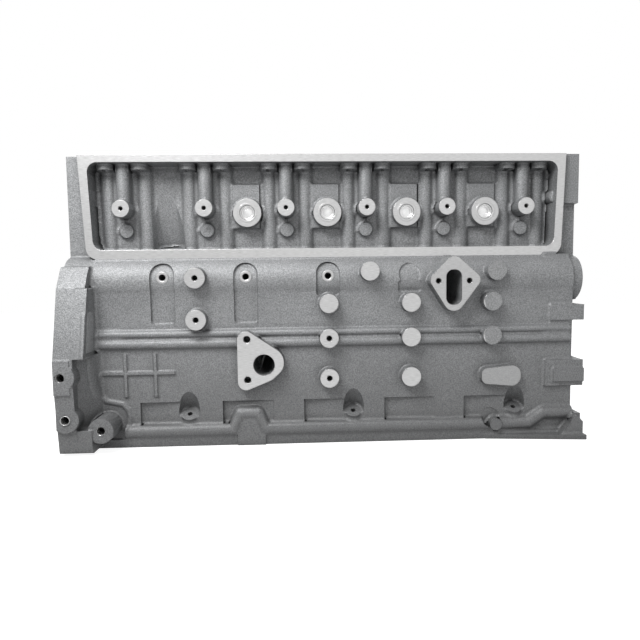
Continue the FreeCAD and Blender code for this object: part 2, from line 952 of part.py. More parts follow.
def leaning_backs():
    """Thicker wall behind each leaning lug."""
    inner = "-skirt_cam + skirt_wall"
    return [
        box(f"leaning_back_{index + 1}", (f"{x} - 22", f"{x} + 22"), (f"{inner} - 2", f"{inner} + 9"), ("-80", "-14"))
        for index, x in enumerate(LEANING_LUGS)
    ]


def tappet_bay():
    """The long pocket in which the tappets and pushrods stand."""
    return prism(
        "tappet_bay",
        "y",
        (
            ("-bay_front", "bay_top", "bay_corner"),
            ("-bay_front_low", "bay_bottom", "bay_corner"),
            ("bay_rear_low", "bay_bottom", "bay_corner"),
            ("bay_rear", "bay_top", "bay_corner"),
        ),
        ("-cover_face - 1", "-bay_floor"),
    )


SCALLOP_LEAN = VECTOR(-0.06, -0.285, 1)


def scallop_form(name, radius):
    """Leaning cylinder between the first two cylinders of the block."""
    item = doc.addObject("Part::Cylinder", name)
    item.Placement = FreeCAD.Placement(VECTOR(), FreeCAD.Rotation(VECTOR(0, 0, 1), SCALLOP_LEAN))
    item.setExpression("Radius", formula(radius))
    item.setExpression("Height", formula("scallop_length"))
    return place(item, ("-scallop_offset", "-scallop_out", "bay_bottom"))


def bay_scallop():
    """Leaning round hollow in the bay floor, and its drain."""
    hollow = scallop_form("bay_scallop", "scallop_radius")
    drain = cylinder(
        "bay_drain", "z", ("-scallop_offset", "-scallop_out - 6"), ("cam_height", "bay_bottom + 1"), "drain_radius"
    )
    return fuse("bay_scallop_and_drain", [hollow, drain])


PLUG_WEBS = (2, 3, 4, 5)


def bay_details():
    """Columns, bosses and pads that stand on the floor of the tappet bay."""
    pieces = []
    height = ("bay_bottom - 2", "bay_top + 2")
    root = "-bay_floor + 3"
    for index in range(CYLINDERS):
        x = cylinder_place(index)
        tag = index + 1
        pieces.append(
            box(f"bay_zone_{tag}", (f"{x} - 36", f"{x} + 40"), ("-bay_floor - 3", root), height)
        )
        for side, shift in (("front", "-tappet_spread"), ("rear", "+tappet_spread + 4")):
            pieces.append(
                cylinder(f"bay_column_{side}_{tag}", "z", (f"{x} {shift}", "-bay_floor + 4.5"), height, "13")
            )
        for side, shift in (("front", "-tappet_spread"), ("rear", "+tappet_spread")):
            pieces.append(
                cylinder(
                    f"pushrod_boss_{side}_{tag}",
                    "z",
                    (f"{x} {shift}", "-cam_offset"),
                    ("bay_top - 9", "bay_top + 2"),
                    "pushrod_radius + 3.5",
                )
            )
        pieces.append(
            cylinder(
                f"cover_bolt_column_{tag}",
                "z",
                (x, "-cam_offset"),
                ("cover_bolt_height", "bay_top + 2"),
                "head_bolt_radius + 4",
            )
        )
        pieces.append(
            box(
                f"cover_bolt_web_{tag}",
                (f"{x} - 9", f"{x} + 9"),
                ("-cam_offset", root),
                ("cover_bolt_height", "bay_top + 2"),
            )
        )
        pieces.append(
            cylinder(
                f"cover_boss_{tag}", "y", (x, "cover_bolt_height"), ("-cover_face", root), "cover_boss_radius"
            )
        )
        pieces.append(
            cylinder(f"bay_pad_{tag}", "y", (f"{x} + 1", "bay_bottom + 29"), ("-bay_floor - 10", root), "10")
        )
    for index in PLUG_WEBS:
        x = main_place(index)
        pieces.append(
            box(f"plug_pad_{index}", (f"{x} - 20", f"{x} + 20"), ("-bay_floor - 7", root), ("218", "283"))
        )
        pieces.append(
            cylinder(f"plug_boss_{index}", "y", (f"{x} + 2", "plug_height"), ("-plug_face", root), "plug_ring")
        )
    pieces.append(
        cylinder("bay_bump", "y", ("bay_rear + 2", "plug_height + 21"), ("-cover_face + 12", root), "10")
    )
    return pieces


# ---------------------------------------------------------------- machining
def bearing_bores():
    """Crankshaft and camshaft line bores."""
    crank = cylinder("crank_bore", "x", ("0", "0"), THROUGH, "main_radius")
    cam = cylinder("cam_bore", "x", ("-cam_offset", "cam_height"), THROUGH, "cam_bore_radius")
    bush = cylinder(
        "cam_bush_bore",
        "x",
        ("-cam_offset", "cam_height"),
        ("-front_face - 1", "-front_face + bush_length"),
        "bush_radius",
    )
    plug = cylinder(
        "cam_plug_bore",
        "x",
        ("-cam_offset", "cam_height"),
        ("rear_face - cam_plug_depth - plug_sink", "rear_face + 1"),
        "bush_radius",
    )
    gallery = cylinder(
        "oil_gallery", "x", ("gallery_offset", "gallery_height"), THROUGH, "gallery_radius"
    )
    return [crank, fuse("cam_bores", [cam, bush, plug]), gallery]


def cylinder_bores():
    """The six cylinder bores."""
    return [
        cylinder(
            f"cylinder_bore_{index + 1}",
            "z",
            (cylinder_place(index), "0"),
            ("crank_swing - 40", "deck_height + 1"),
            "bore_radius",
        )
        for index in range(CYLINDERS)
    ]


def deck_holes():
    """Head bolt, coolant and pushrod holes in the deck."""
    pieces = []
    deep = ("deck_height - head_bolt_depth", "deck_height + 1")
    for index in range(MAINS):
        for side in ("-", "+"):
            pieces.append(
                cylinder(
                    f"head_hole_{index}{'cam' if side == '-' else 'exhaust'}",
                    "z",
                    (main_place(index), f"0 {side} head_bolt_row"),
                    deep,
                    "head_bolt_radius",
                )
            )
    for index in range(CYLINDERS):
        x = cylinder_place(index)
        pieces.append(cylinder(f"head_hole_side_{index}", "z", (x, "head_bolt_outer"), deep, "head_bolt_radius"))
        pieces.append(cylinder(f"head_hole_bay_{index}", "z", (x, "-cam_offset"), deep, "head_bolt_radius"))
        shallow = ("deck_height - deck_thickness - 2", "deck_height + 1")
        for side in ("-", "+"):
            pieces.append(
                cylinder(
                    f"pushrod_hole_{index}{'front' if side == '-' else 'rear'}",
                    "z",
                    (f"{x} {side} tappet_spread", "-cam_offset"),
                    ("bay_top - 12", "deck_height + 1"),
                    "pushrod_radius",
                )
            )
            pieces.append(
                cylinder(
                    f"tappet_hole_{index}{'front' if side == '-' else 'rear'}",
                    "z",
                    (f"{x} {side} tappet_spread", "-cam_offset"),
                    ("cam_height + cam_tunnel_radius - 8", "bay_bottom + 1"),
                    "tappet_radius",
                )
            )
            pieces.append(
                cylinder(
                    f"coolant_hole_{index}{'front' if side == '-' else 'rear'}",
                    "z",
                    (f"{x} {side} 32", "56"),
                    shallow,
                    "coolant_radius",
                )
            )
        pieces.append(
            cylinder(f"coolant_hole_cam_{index}", "z", (f"{x} + 32", "-56"), shallow, "coolant_radius")
        )
    return pieces


def side_holes():
    """Openings and tapped holes in the two long sides."""
    pieces = []
    for index in range(CYLINDERS):
        pieces.append(
            cylinder(
                f"cover_hole_{index}",
                "y",
                (cylinder_place(index), "cover_bolt_height"),
                ("-cover_face - 1", "-cover_face + 18"),
                "cover_hole_radius",
            )
        )
    for index in PLUG_WEBS:
        pieces.append(
            cylinder(
                f"bay_plug_hole_{index}",
                "y",
                (f"{main_place(index)} + 2", "plug_height"),
                ("-plug_face - 1", "-30"),
                "plug_radius",
            )
        )
    pieces.append(
        prism(
            "pump_slot",
            "y",
            (
                ("pump_offset - 11.5", "cam_height - 36", 10.5),
                ("pump_offset + 11.5", "cam_height - 36", 10.5),
                ("pump_offset + 11.5", "cam_height + 15", 10.5),
                ("pump_offset - 11.5", "cam_height + 15", 10.5),
            ),
            ("-pump_face - 1", "-cam_offset"),
        )
    )
    for name, shift in (("front", "-22.5"), ("rear", "+22.5")):
        pieces.append(
            cylinder(
                f"pump_bolt_{name}",
                "y",
                (f"pump_offset {shift}", "cam_height - 1.3"),
                ("-pump_face - 1", "-pump_face + 20"),
                "lug_bolt_radius",
            )
        )
    pieces.append(
        cylinder(
            "oil_port",
            "y",
            ("-oil_port_offset", "oil_port_height"),
            ("-pad_face - 1", "-skirt_cam + skirt_wall + 1"),
            "oil_port_radius",
        )
    )
    for name, x, z in (("upper", "24", "+ 37.5"), ("lower", "24", "- 21.5")):
        pieces.append(
            cylinder(
                f"oil_port_bolt_{name}",
                "y",
                (f"-oil_port_offset - {x}", f"oil_port_height {z}"),
                ("-pad_face - 1", "-pad_face + 22"),
                "lug_bolt_radius + 1",
            )
        )
    return pieces


def rail_holes():
    """Tapped holes for the oil pan bolts."""
    pieces = []
    count = 12
    for index in range(count):
        x = f"-front_face + 16 + {index} * (front_face + rear_face - 32) / {count - 1}"
        for side, y in (("cam", "-skirt_cam + 5"), ("exhaust", "skirt_exhaust - 2")):
            pieces.append(
                cylinder(
                    f"rail_hole_{side}_{index}",
                    "z",
                    (x, y),
                    ("-rail_drop - 1", "-rail_drop + 18"),
                    "rail_bolt_radius",
                )
            )
    return pieces


# Bolt holes in both end faces: y, z
END_BOLTS = (
    ("-118", "-90"),
    ("-118", "90"),
    ("-86", "190"),
    ("-86", "300"),
    ("0", "200"),
    ("60", "300"),
    ("62", "170"),
    ("104", "60"),
    ("104", "-20"),
    ("104", "-90"),
    ("-60", "70"),
    ("60", "90"),
)


def end_holes():
    """Tapped holes for the gear housing and the flywheel housing."""
    pieces = []
    for index, (y, z) in enumerate(END_BOLTS):
        for end, span in (
            ("front", ("-front_face - 1", "-front_face + 22")),
            ("rear", ("rear_face - 22", "rear_face + 1")),
        ):
            pieces.append(cylinder(f"{end}_bolt_{index}", "x", (y, z), span, "end_bolt_radius"))
    return pieces


def cap_bolt_holes():
    """Tapped holes for the main cap bolts."""
    pieces = []
    for index in range(MAINS):
        for side in ("-", "+"):
            pieces.append(
                cylinder(
                    f"cap_bolt_hole_{index}{'cam' if side == '-' else 'exhaust'}",
                    "z",
                    (main_place(index), f"0 {side} cap_bolt_offset"),
                    ("-1", "cap_bolt_depth + 6"),
                    "cap_bolt_radius + thread_gap",
                )
            )
    return pieces


def cooler_box():
    """Rim and pocket of the oil cooler on the exhaust side."""
    rim = prism(
        "cooler_rim",
        "y",
        (
            ("-cooler_front - cooler_rim", "cooler_bottom - cooler_rim", 16),
            ("-cooler_rear + cooler_rim", "cooler_bottom - cooler_rim", 16),
            ("-cooler_rear + cooler_rim", "cooler_top + cooler_rim", 16),
            ("-cooler_front - cooler_rim", "cooler_top + cooler_rim", 16),
        ),
        ("40", "cooler_face"),
    )
    pocket = prism(
        "cooler_pocket",
        "y",
        (
            ("-cooler_front", "cooler_bottom", 12),
            ("-cooler_rear", "cooler_bottom", 12),
            ("-cooler_rear", "cooler_top", 12),
            ("-cooler_front", "cooler_top", 12),
        ),
        ("cooler_floor", "cooler_face + 1"),
    )
    return rim, pocket


SIDE_PLUG_WEBS = (3, 4, 5)


# Engine mount bosses on the exhaust side: x and z of each
MOUNT_BOSSES = tuple(
    (f"{side} * bore_pitch + {shift}", height)
    for side in ("-1", "1.5")
    for shift in ("-30", "30")
    for height in ("-40", "28")
)


def mount_bosses():
    """Drilled bosses for the engine mounts, and upright ribs at the inner webs."""
    bosses = [
        cylinder(f"mount_boss_{index + 1}", "y", place_xz, ("skirt_exhaust - 3", "mount_face"), "mount_radius")
        for index, place_xz in enumerate(MOUNT_BOSSES)
    ]
    ribs = [
        box(
            f"skirt_rib_{index}",
            (f"{main_place(index)} - 4", f"{main_place(index)} + 4"),
            ("skirt_exhaust - 3", "skirt_exhaust + 5"),
            ("rail_height - rail_drop - 1", "shoulder_low - 12"),
        )
        for index in range(1, MAINS - 1)
    ]
    return bosses + ribs


def mount_holes():
    """Tapped holes of the engine mounts."""
    return [
        cylinder(f"mount_hole_{index + 1}", "y", place_xz, ("mount_face - 20", "mount_face + 1"), "mount_hole")
        for index, place_xz in enumerate(MOUNT_BOSSES)
    ]


def exhaust_details():
    """Oil gallery tube and core plug bosses on the exhaust side."""
    tube = cylinder(
        "gallery_tube", "x", ("gallery_offset", "gallery_height"), WHOLE, "gallery_tube"
    )
    bosses = [
        cylinder(
            f"side_plug_boss_{index}",
            "y",
            (main_place(index), "plug_height"),
            ("exhaust_wall - 6", "side_plug_face"),
            "side_plug_ring",
        )
        for index in SIDE_PLUG_WEBS
    ]
    return [tube] + bosses


def exhaust_holes():
    """Holes in the exhaust side for its core plugs."""
    return [
        cylinder(
            f"side_plug_hole_{index}",
            "y",
            (main_place(index), "plug_height"),
            ("jacket_exhaust - 14", "side_plug_face + 1"),
            "side_plug_radius",
        )
        for index in SIDE_PLUG_WEBS
    ]


def build_block():
    """Build the casting and machine it."""
    rim, pocket = cooler_box()
    outside = fuse(
        "casting_outside",
        [outer_wall("outer_form", "0"), cover_frame(), rim]
        + exhaust_barrels()
        + exhaust_bolt_columns()
        + pan_rails()
        + wall_ridges()
        + rail_tube()
        + lugs()
        + [pump_pad(), oil_port_pad()]
        + front_flange()
        + rear_bars()
        + cross_ribs()
        + exhaust_details()
        + mount_bosses(),
    )
    hollows = [
        group("outside_cuts", wall_panels() + rear_notches() + [front_boss_trim(), tappet_bay(), pocket]),
        rail_boss_clearance(),
        group("all_slots", wall_slots()),
        crankcase_bays(),
        cam_tunnel(),
        web_cuts(),
    ]
    body = outside
    for index, tool in enumerate(hollows):
        body = cut(f"casting_hollow_{index + 1}", body, tool)
    inside = bay_details() + slot_bosses() + leaning_lugs() + main_bosses() + leaning_backs()
    inside = inside + [rail_boss()]
    body = fuse("casting_details", [body] + inside)
    body = cut("casting_scallop", body, fuse("late_cuts", [bay_scallop()] + leaning_cuts()))
    body = fuse("casting_long_lug", [body, long_lug()])
    body = cut("casting_jacket", body, water_jacket())
    body = cut("bored", body, group("line_bores", bearing_bores()))
    body = cut("honed", body, group("cylinder_bores", cylinder_bores()))
    drillings = (
        deck_holes()
        + side_holes()
        + rail_holes()
        + end_holes()
        + cap_bolt_holes()
        + lug_holes()
        + front_boss_holes()
        + slot_holes()
        + exhaust_holes()
        + mount_holes()
    )
    return cut("cylinder_block", body, group("drillings", drillings))


# ---------------------------------------------------------------- separate pieces
def main_cap(index):
    """One main bearing cap, bored in line with the block."""
    x = main_place(index)
    tag = index + 1
    span = (f"{x} - cap_thickness / 2", f"{x} + cap_thickness / 2")
    blank = prism(
        f"cap_blank_{tag}",
        "x",
        (
            ("-cap_half_width", "0", 0),
            ("-cap_half_width", "-cap_shoulder", 4),
            ("-cap_half_width + 30", "-cap_shoulder", 6),
            ("-cap_half_width + 38", "-cap_height", 8),
            ("cap_half_width - 38", "-cap_height", 8),
            ("cap_half_width - 30", "-cap_shoulder", 6),
            ("cap_half_width", "-cap_shoulder", 4),
            ("cap_half_width", "0", 0),
        ),
        span,
    )
    tools = [cylinder(f"cap_bore_{tag}", "x", ("0", "0"), span, "main_radius")]
    for side in ("-", "+"):
        tools.append(
            cylinder(
                f"cap_hole_{tag}_{'cam' if side == '-' else 'exhaust'}",
                "z",
                (x, f"0 {side} cap_bolt_offset"),
                ("-cap_shoulder - 1", "1"),
                "cap_bolt_radius + bolt_gap",
            )
        )
    return cut(f"main_bearing_cap_{tag}", blank, group(f"cap_tools_{tag}", tools))


def cap_bolt(index, side):
    """One hexagon-headed main cap bolt."""
    x = main_place(index)
    y = f"0 {side} cap_bolt_offset"
    tag = f"{index + 1}_{'cam' if side == '-' else 'exhaust'}"
    corners = []
    for corner in range(6):
        angle = math.radians(60 * corner)
        corners.append(
            (
                f"{x} + cap_bolt_head * {math.cos(angle):.9f}",
                f"{y} + cap_bolt_head * {math.sin(angle):.9f}",
                0,
            )
        )
    head = prism(
        f"cap_bolt_head_{tag}", "z", corners, ("-cap_shoulder - cap_bolt_head_height", "-cap_shoulder")
    )
    shank = cylinder(
        f"cap_bolt_shank_{tag}", "z", (x, y), ("-cap_shoulder - 1", "cap_bolt_depth"), "cap_bolt_radius"
    )
    return fuse(f"cap_bolt_{tag}", [head, shank])


def cup_plug(name, axis, centre, mouth, inward, depth, radius):
    """Pressed cup plug whose open side faces outward; inward is '+' or '-' along the axis."""
    far = f"{mouth} {inward} ({depth})"
    floor = f"{mouth} {inward} ({depth} - plug_wall)"
    past = f"{mouth} {'-' if inward == '+' else '+'} 1"
    outer = (mouth, far) if inward == "+" else (far, mouth)
    inner = (past, floor) if inward == "+" else (floor, past)
    blank = cylinder(name + "_blank", axis, centre, outer, f"{radius} - press_gap")
    hollow = cylinder(name + "_hollow", axis, centre, inner, f"{radius} - press_gap - plug_wall")
    return cut(name, blank, hollow)


def cam_bush():
    """Pressed bush in the front camshaft bearing."""
    centre = ("-cam_offset", "cam_height")
    span = ("-front_face + press_gap", "-front_face + bush_length - press_gap")
    blank = cylinder("cam_bush_blank", "x", centre, span, "bush_radius - press_gap")
    bore = cylinder("cam_bush_bore_cut", "x", centre, THROUGH, "cam_bore_radius")
    return cut("front_camshaft_bushing", blank, bore)


def gallery_plug(name, mouth, inward):
    """Screwed plug with a square socket in one end of the oil gallery."""
    centre = ("gallery_offset", "gallery_height")
    far = f"{mouth} {inward} gallery_plug_length"
    span = (mouth, far) if inward == "+" else (far, mouth)
    blank = cylinder(name + "_blank", "x", centre, span, "gallery_radius - thread_gap")
    half = "gallery_radius * 0.5"
    depth = f"{mouth} {inward} 6"
    past = f"{mouth} {'-' if inward == '+' else '+'} 1"
    socket = box(
        name + "_socket",
        (past, depth) if inward == "+" else (depth, past),
        (f"gallery_offset - {half}", f"gallery_offset + {half}"),
        (f"gallery_height - {half}", f"gallery_height + {half}"),
    )
    return cut(name, blank, socket)


def build_pieces():
    """Build every piece; each name is its node's name."""
    pieces = [build_block()]
    pieces += [main_cap(index) for index in range(MAINS)]
    bolts = [cap_bolt(index, side) for index in range(MAINS) for side in ("-", "+")]
    pieces.append(group("main_cap_bolts", bolts))
    for count, index in enumerate(PLUG_WEBS, start=1):
        centre = (f"{main_place(index)} + 2", "plug_height")
        mouth = "-plug_face + plug_sink"
        pieces.append(
            cup_plug(f"tappet_bay_core_plug_{count}", "y", centre, mouth, "+", "plug_depth", "plug_radius")
        )
    for count, index in enumerate(SIDE_PLUG_WEBS, start=1):
        centre = (main_place(index), "plug_height")
        mouth = "side_plug_face - plug_sink"
        pieces.append(
            cup_plug(
                f"exhaust_side_core_plug_{count}", "y", centre, mouth, "-", "plug_depth", "side_plug_radius"
            )
        )
    pieces.append(
        cup_plug(
            "rear_camshaft_plug",
            "x",
            ("-cam_offset", "cam_height"),
            "rear_face - plug_sink",
            "-",
            "cam_plug_depth",
            "bush_radius",
        )
    )
    pieces.append(cam_bush())
    pieces.append(gallery_plug("front_gallery_plug", "-front_face + plug_sink", "+"))
    pieces.append(gallery_plug("rear_gallery_plug", "rear_face - plug_sink", "-"))
    return pieces


def check(pieces):
    """Stop with a message if any object failed or any piece isn't a sound solid."""
    for item in doc.Objects:
        if "Invalid" in item.State or "Error" in item.State:
            raise RuntimeError(f"{item.Label} could not be built: {item.State}")
    for piece in pieces:
        if piece.Shape.isNull() or not piece.Shape.isValid() or not piece.Shape.Solids:
            raise RuntimeError(f"{piece.Label} has no sound solid")


def export(pieces):
    """Write each piece to a file with its own name."""
    os.makedirs("parts", exist_ok=True)
    for piece in pieces:
        piece.Shape.exportStep(f"parts/{piece.Label}.step")


PIECES = build_pieces()
doc.recompute()
check(PIECES)
export(PIECES)
for piece in PIECES:
    solids = piece.Shape.Solids
    print(f"{piece.Label}: {len(solids)} solid(s), {sum(solid.Volume for solid in solids) / 1000:.1f} cm3")
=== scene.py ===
"""Looks of a bare cast-iron engine block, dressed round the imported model.

The frame is the block's own: +X runs along the crankshaft from the front face to
the rear face, +Z runs up the cylinders, and the camshaft lies on the -Y side.
Sizes in the classes are in millimetres, and meshes are made in metres.
"""

import json
import logging
import math
from dataclasses import dataclass, field
from enum import Enum

import bpy
import numpy as np
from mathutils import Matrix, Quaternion, Vector

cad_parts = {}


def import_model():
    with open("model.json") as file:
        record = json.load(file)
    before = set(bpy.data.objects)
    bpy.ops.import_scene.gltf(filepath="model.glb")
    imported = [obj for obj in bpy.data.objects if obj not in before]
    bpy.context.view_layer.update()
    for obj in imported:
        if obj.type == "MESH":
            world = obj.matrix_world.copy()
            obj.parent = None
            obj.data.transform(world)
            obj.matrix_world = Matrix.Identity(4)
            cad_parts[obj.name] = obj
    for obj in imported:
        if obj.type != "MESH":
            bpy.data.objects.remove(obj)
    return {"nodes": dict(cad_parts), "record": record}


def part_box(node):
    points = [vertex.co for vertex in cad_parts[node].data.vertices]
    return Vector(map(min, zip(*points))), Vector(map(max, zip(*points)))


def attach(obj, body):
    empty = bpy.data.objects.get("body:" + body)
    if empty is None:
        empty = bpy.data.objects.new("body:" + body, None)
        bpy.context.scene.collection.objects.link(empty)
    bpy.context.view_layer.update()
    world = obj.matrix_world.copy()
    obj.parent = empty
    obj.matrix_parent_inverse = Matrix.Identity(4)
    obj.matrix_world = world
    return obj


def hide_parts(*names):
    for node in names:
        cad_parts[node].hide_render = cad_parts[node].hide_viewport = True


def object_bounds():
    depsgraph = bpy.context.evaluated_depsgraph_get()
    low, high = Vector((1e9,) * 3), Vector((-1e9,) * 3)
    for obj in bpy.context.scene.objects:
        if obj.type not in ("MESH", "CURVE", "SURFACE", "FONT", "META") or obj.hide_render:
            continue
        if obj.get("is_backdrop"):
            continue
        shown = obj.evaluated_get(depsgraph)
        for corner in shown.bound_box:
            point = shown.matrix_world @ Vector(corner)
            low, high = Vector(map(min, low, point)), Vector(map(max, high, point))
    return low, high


LOG = logging.getLogger("engine_block")
MM = 0.001
BODY = "root"


# ---------------------------------------------------------------- finishes
class Slot(Enum):
    """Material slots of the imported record."""

    CAST = "cast"
    BOLT = "bolt_steel"
    PLUG = "plug_steel"
    BUSH = "bush_bronze"


class Graph:
    """A material's node tree, with short calls for the nodes that the finishes share."""

    def __init__(self, name: str) -> None:
        """Start a material with a Principled shader.

        Args:
            name: the material's name.
        """
        self.material = bpy.data.materials.new(name)
        self.material.use_nodes = True
        self.tree = self.material.node_tree
        self.shader = next(n for n in self.tree.nodes if n.type == "BSDF_PRINCIPLED")
        self.place = self.add("ShaderNodeTexCoord").outputs["Object"]

    def add(self, kind: str, **settings: object) -> bpy.types.Node:
        """Add a node.

        Args:
            kind: the node's type.
            settings: attributes of the node to set.

        Returns:
            The new node.
        """
        node = self.tree.nodes.new(kind)
        for key, value in settings.items():
            setattr(node, key, value)
        return node

    def feed(self, socket: bpy.types.NodeSocket, source: object) -> None:
        """Link a socket to another one, or set its value.

        Args:
            socket: the input to feed.
            source: an output socket, a number or a colour.
        """
        if isinstance(source, bpy.types.NodeSocket):
            self.tree.links.new(source, socket)
        else:
            socket.default_value = source

    def noise(
        self, size: float, detail: float = 2.0, stretch: tuple = (1.0, 1.0, 1.0)
    ) -> bpy.types.NodeSocket:
        """Make noise whose grains are about a size across.

        Args:
            size: grain size in millimetres.
            detail: octaves of finer grain.
            stretch: how much finer the grain is along each axis.

        Returns:
            The noise value, from 0 to 1.
        """
        mapping = self.add("ShaderNodeMapping")
        mapping.inputs["Scale"].default_value = stretch
        self.feed(mapping.inputs["Vector"], self.place)
        node = self.add("ShaderNodeTexNoise")
        self.feed(node.inputs["Vector"], mapping.outputs["Vector"])
        node.inputs["Scale"].default_value = 1.0 / (size * MM)
        node.inputs["Detail"].default_value = detail
        return node.outputs["Fac"]

    def span(
        self, value: object, low: float, high: float, new_low: float = 0.0, new_high: float = 1.0
    ) -> bpy.types.NodeSocket:
        """Carry a value from one range to another, held at its ends.

        Args:
            value: the value's socket.
            low: the start of its range.
            high: the end of its range.
            new_low: what the start becomes.
            new_high: what the end becomes.

        Returns:
            The new value.
        """
        node = self.add("ShaderNodeMapRange")
        self.feed(node.inputs["Value"], value)
        ends = {"From Min": low, "From Max": high, "To Min": new_low, "To Max": new_high}
        for name, number in ends.items():
            node.inputs[name].default_value = number
        return node.outputs["Result"]

    def math(self, operation: str, first: object, second: object = 0.0) -> bpy.types.NodeSocket:
        """Work out a sum, product or other operation of two values.

        Args:
            operation: the operation's name, such as MULTIPLY.
            first: a socket or a number.
            second: a socket or a number.

        Returns:
            The result.
        """
        node = self.add("ShaderNodeMath", operation=operation)
        self.feed(node.inputs[0], first)
        self.feed(node.inputs[1], second)
        return node.outputs["Value"]

    def blend(self, share: object, first: object, second: object) -> bpy.types.NodeSocket:
        """Mix two colours.

        Args:
            share: how much of the second colour there is, from 0 to 1.
            first: a colour or a socket.
            second: a colour or a socket.

        Returns:
            The mixed colour.
        """
        node = self.add("ShaderNodeMix", data_type="RGBA")
        self.feed(node.inputs["Factor"], share)
        self.feed(node.inputs[6], first)
        self.feed(node.inputs[7], second)
        return node.outputs[2]

    def bump(
        self, height: bpy.types.NodeSocket, depth: float, before: object = None
    ) -> bpy.types.NodeSocket:
        """Roughen the surface.

        Args:
            height: the relief, from 0 to 1.
            depth: the relief's depth in millimetres.
            before: the normal that an earlier bump gives.

        Returns:
            The new normal.
        """
        node = self.add("ShaderNodeBump")
        node.inputs["Distance"].default_value = depth * MM
        self.feed(node.inputs["Height"], height)
        if before is not None:
            self.feed(node.inputs["Normal"], before)
        return node.outputs["Normal"]


def grey(value: float, warmth: float = 0.0) -> tuple:
    """Return a grey as linear colour, a little warmer or cooler than neutral.

    Args:
        value: how bright the grey looks, from 0 to 1.
        warmth: how much red is added and blue is taken away.

    Returns:
        Red, green, blue and alpha.
    """
    return tuple(max(value + shift, 0.0) ** 2.2 for shift in (warmth, 0.0, -warmth)) + (1.0,)


@dataclass(frozen=True)
class CastingFinish:
    """Sand-cast iron that is milled where the attribute `machined` is high.

    Tones are how bright a grey looks, sizes are in millimetres, and a fade is the pair of
    values between which a pattern comes in. Painted shade darkens the skin towards the foot of
    the block and in the inner corners, and the outer edges are softened.
    """

    rough_tone: float = 0.6
    dark_tone: float = 0.43
    milled_tone: float = 0.76
    worn_tone: float = 0.66
    rough_warmth: float = -0.004
    dark_warmth: float = -0.006
    grain: float = 1.6
    grain_fade: tuple = (0.32, 0.68)
    patch_size: float = 42.0
    patch_fade: tuple = (0.35, 0.75)
    patch_share: float = 0.32
    speckle_size: float = 3.04
    speckle_fade: tuple = (0.66, 0.8)
    speckle_share: float = 0.5
    lump: float = 7.0
    edge_radius: float = 1.1
    # painted shade: the skin's colour darkens towards the foot of the block, by height
    unshaded_height: float = 80.0
    darkest_shade_height: float = -70.0
    foot_shade_share: float = 0.55
    foot_shade_tones: tuple = (0.62, 0.86)
    # painted shade: how far, how strongly and how dark ambient occlusion shades the inner corners
    painted_shade_reach: float = 14.0
    painted_shade_fade: tuple = (0.3, 0.95)
    painted_shade_share: float = 0.6
    painted_shade_tone: float = 0.45
    line_size: float = 0.5
    line_stretch: tuple = (0.06, 1.0, 1.0)
    line_fade: tuple = (0.3, 0.7)
    roughness_fade: tuple = (0.2, 0.8)
    cast_roughness: tuple = (0.62, 0.5)
    milled_roughness: tuple = (0.26, 0.4)
    metallic: tuple = (0.35, 0.85)
    milled_relief: float = 0.08
    grain_depth: float = 0.45
    lump_depth: float = 0.5

    def material(self) -> bpy.types.Material:
        """Return the material."""
        g = Graph("cast_iron")
        milled = g.add("ShaderNodeAttribute", attribute_name="machined").outputs["Fac"]
        share = g.span(milled, 0.0, 1.0)
        sand = g.noise(self.grain, detail=3.0)
        lines = g.noise(self.line_size, stretch=self.line_stretch)
        milling = g.blend(
            g.span(lines, *self.line_fade), grey(self.worn_tone), grey(self.milled_tone)
        )
        g.feed(g.shader.inputs["Base Color"], g.blend(share, self.iron(g, sand), milling))
        rough = g.span(sand, *self.roughness_fade, *self.cast_roughness)
        smooth = g.span(lines, *self.roughness_fade, *self.milled_roughness)
        step = g.math("MULTIPLY", share, g.math("SUBTRACT", smooth, rough))
        g.feed(g.shader.inputs["Roughness"], g.math("ADD", rough, step))
        g.feed(g.shader.inputs["Metallic"], g.span(share, 0.0, 1.0, *self.metallic))
        relief = g.math("MULTIPLY", sand, g.span(share, 0.0, 1.0, 1.0, self.milled_relief))
        soft_edge = g.add("ShaderNodeBevel", samples=4)
        soft_edge.inputs["Radius"].default_value = self.edge_radius * MM
        normal = g.bump(relief, self.grain_depth, soft_edge.outputs["Normal"])
        swell = g.math("MULTIPLY", g.noise(self.lump), g.span(share, 0.0, 1.0, 1.0, 0.0))
        g.feed(g.shader.inputs["Normal"], g.bump(swell, self.lump_depth, normal))
        return g.material

    def iron(self, g: Graph, sand: bpy.types.NodeSocket) -> bpy.types.NodeSocket:
        """Work out the colour of the cast skin.

        Args:
            g: the material's nodes.
            sand: the noise of the sand's grain.

        Returns:
            The skin's colour, with its patches, speckles and painted shade at the foot and in the
            corners.
        """
        dark, worn = self.dark_tone, grey(self.worn_tone)
        rough = grey(self.rough_tone, self.rough_warmth)
        iron = g.blend(g.span(sand, *self.grain_fade), grey(dark, self.dark_warmth), rough)
        patches = g.noise(self.patch_size, detail=3.0)
        patches = g.span(patches, *self.patch_fade, 0.0, self.patch_share)
        iron = g.blend(patches, iron, grey(dark, self.rough_warmth))
        speckle = g.noise(self.speckle_size, detail=1.0)
        iron = g.blend(g.span(speckle, *self.speckle_fade, 0.0, self.speckle_share), iron, worn)
        # painted shade: the skin's colour darkens towards the foot of the block, by height
        height = g.add("ShaderNodeSeparateXYZ")
        g.feed(height.inputs["Vector"], g.place)
        reach = (self.darkest_shade_height * MM, self.unshaded_height * MM)
        painted_foot_shade = g.span(height.outputs["Z"], *reach, self.foot_shade_share, 0.0)
        iron = g.blend(painted_foot_shade, iron, g.blend(sand, *(grey(dark * tone) for tone in self.foot_shade_tones)))
        # painted shade: ambient occlusion darkens the skin's colour in inner corners and hollows
        occlusion_node = g.add("ShaderNodeAmbientOcclusion", samples=6)
        occlusion_node.inputs["Distance"].default_value = self.painted_shade_reach * MM
        painted_corner_shade = g.span(occlusion_node.outputs["AO"], *self.painted_shade_fade, self.painted_shade_share, 0.0)
        return g.blend(painted_corner_shade, iron, grey(dark * self.painted_shade_tone))


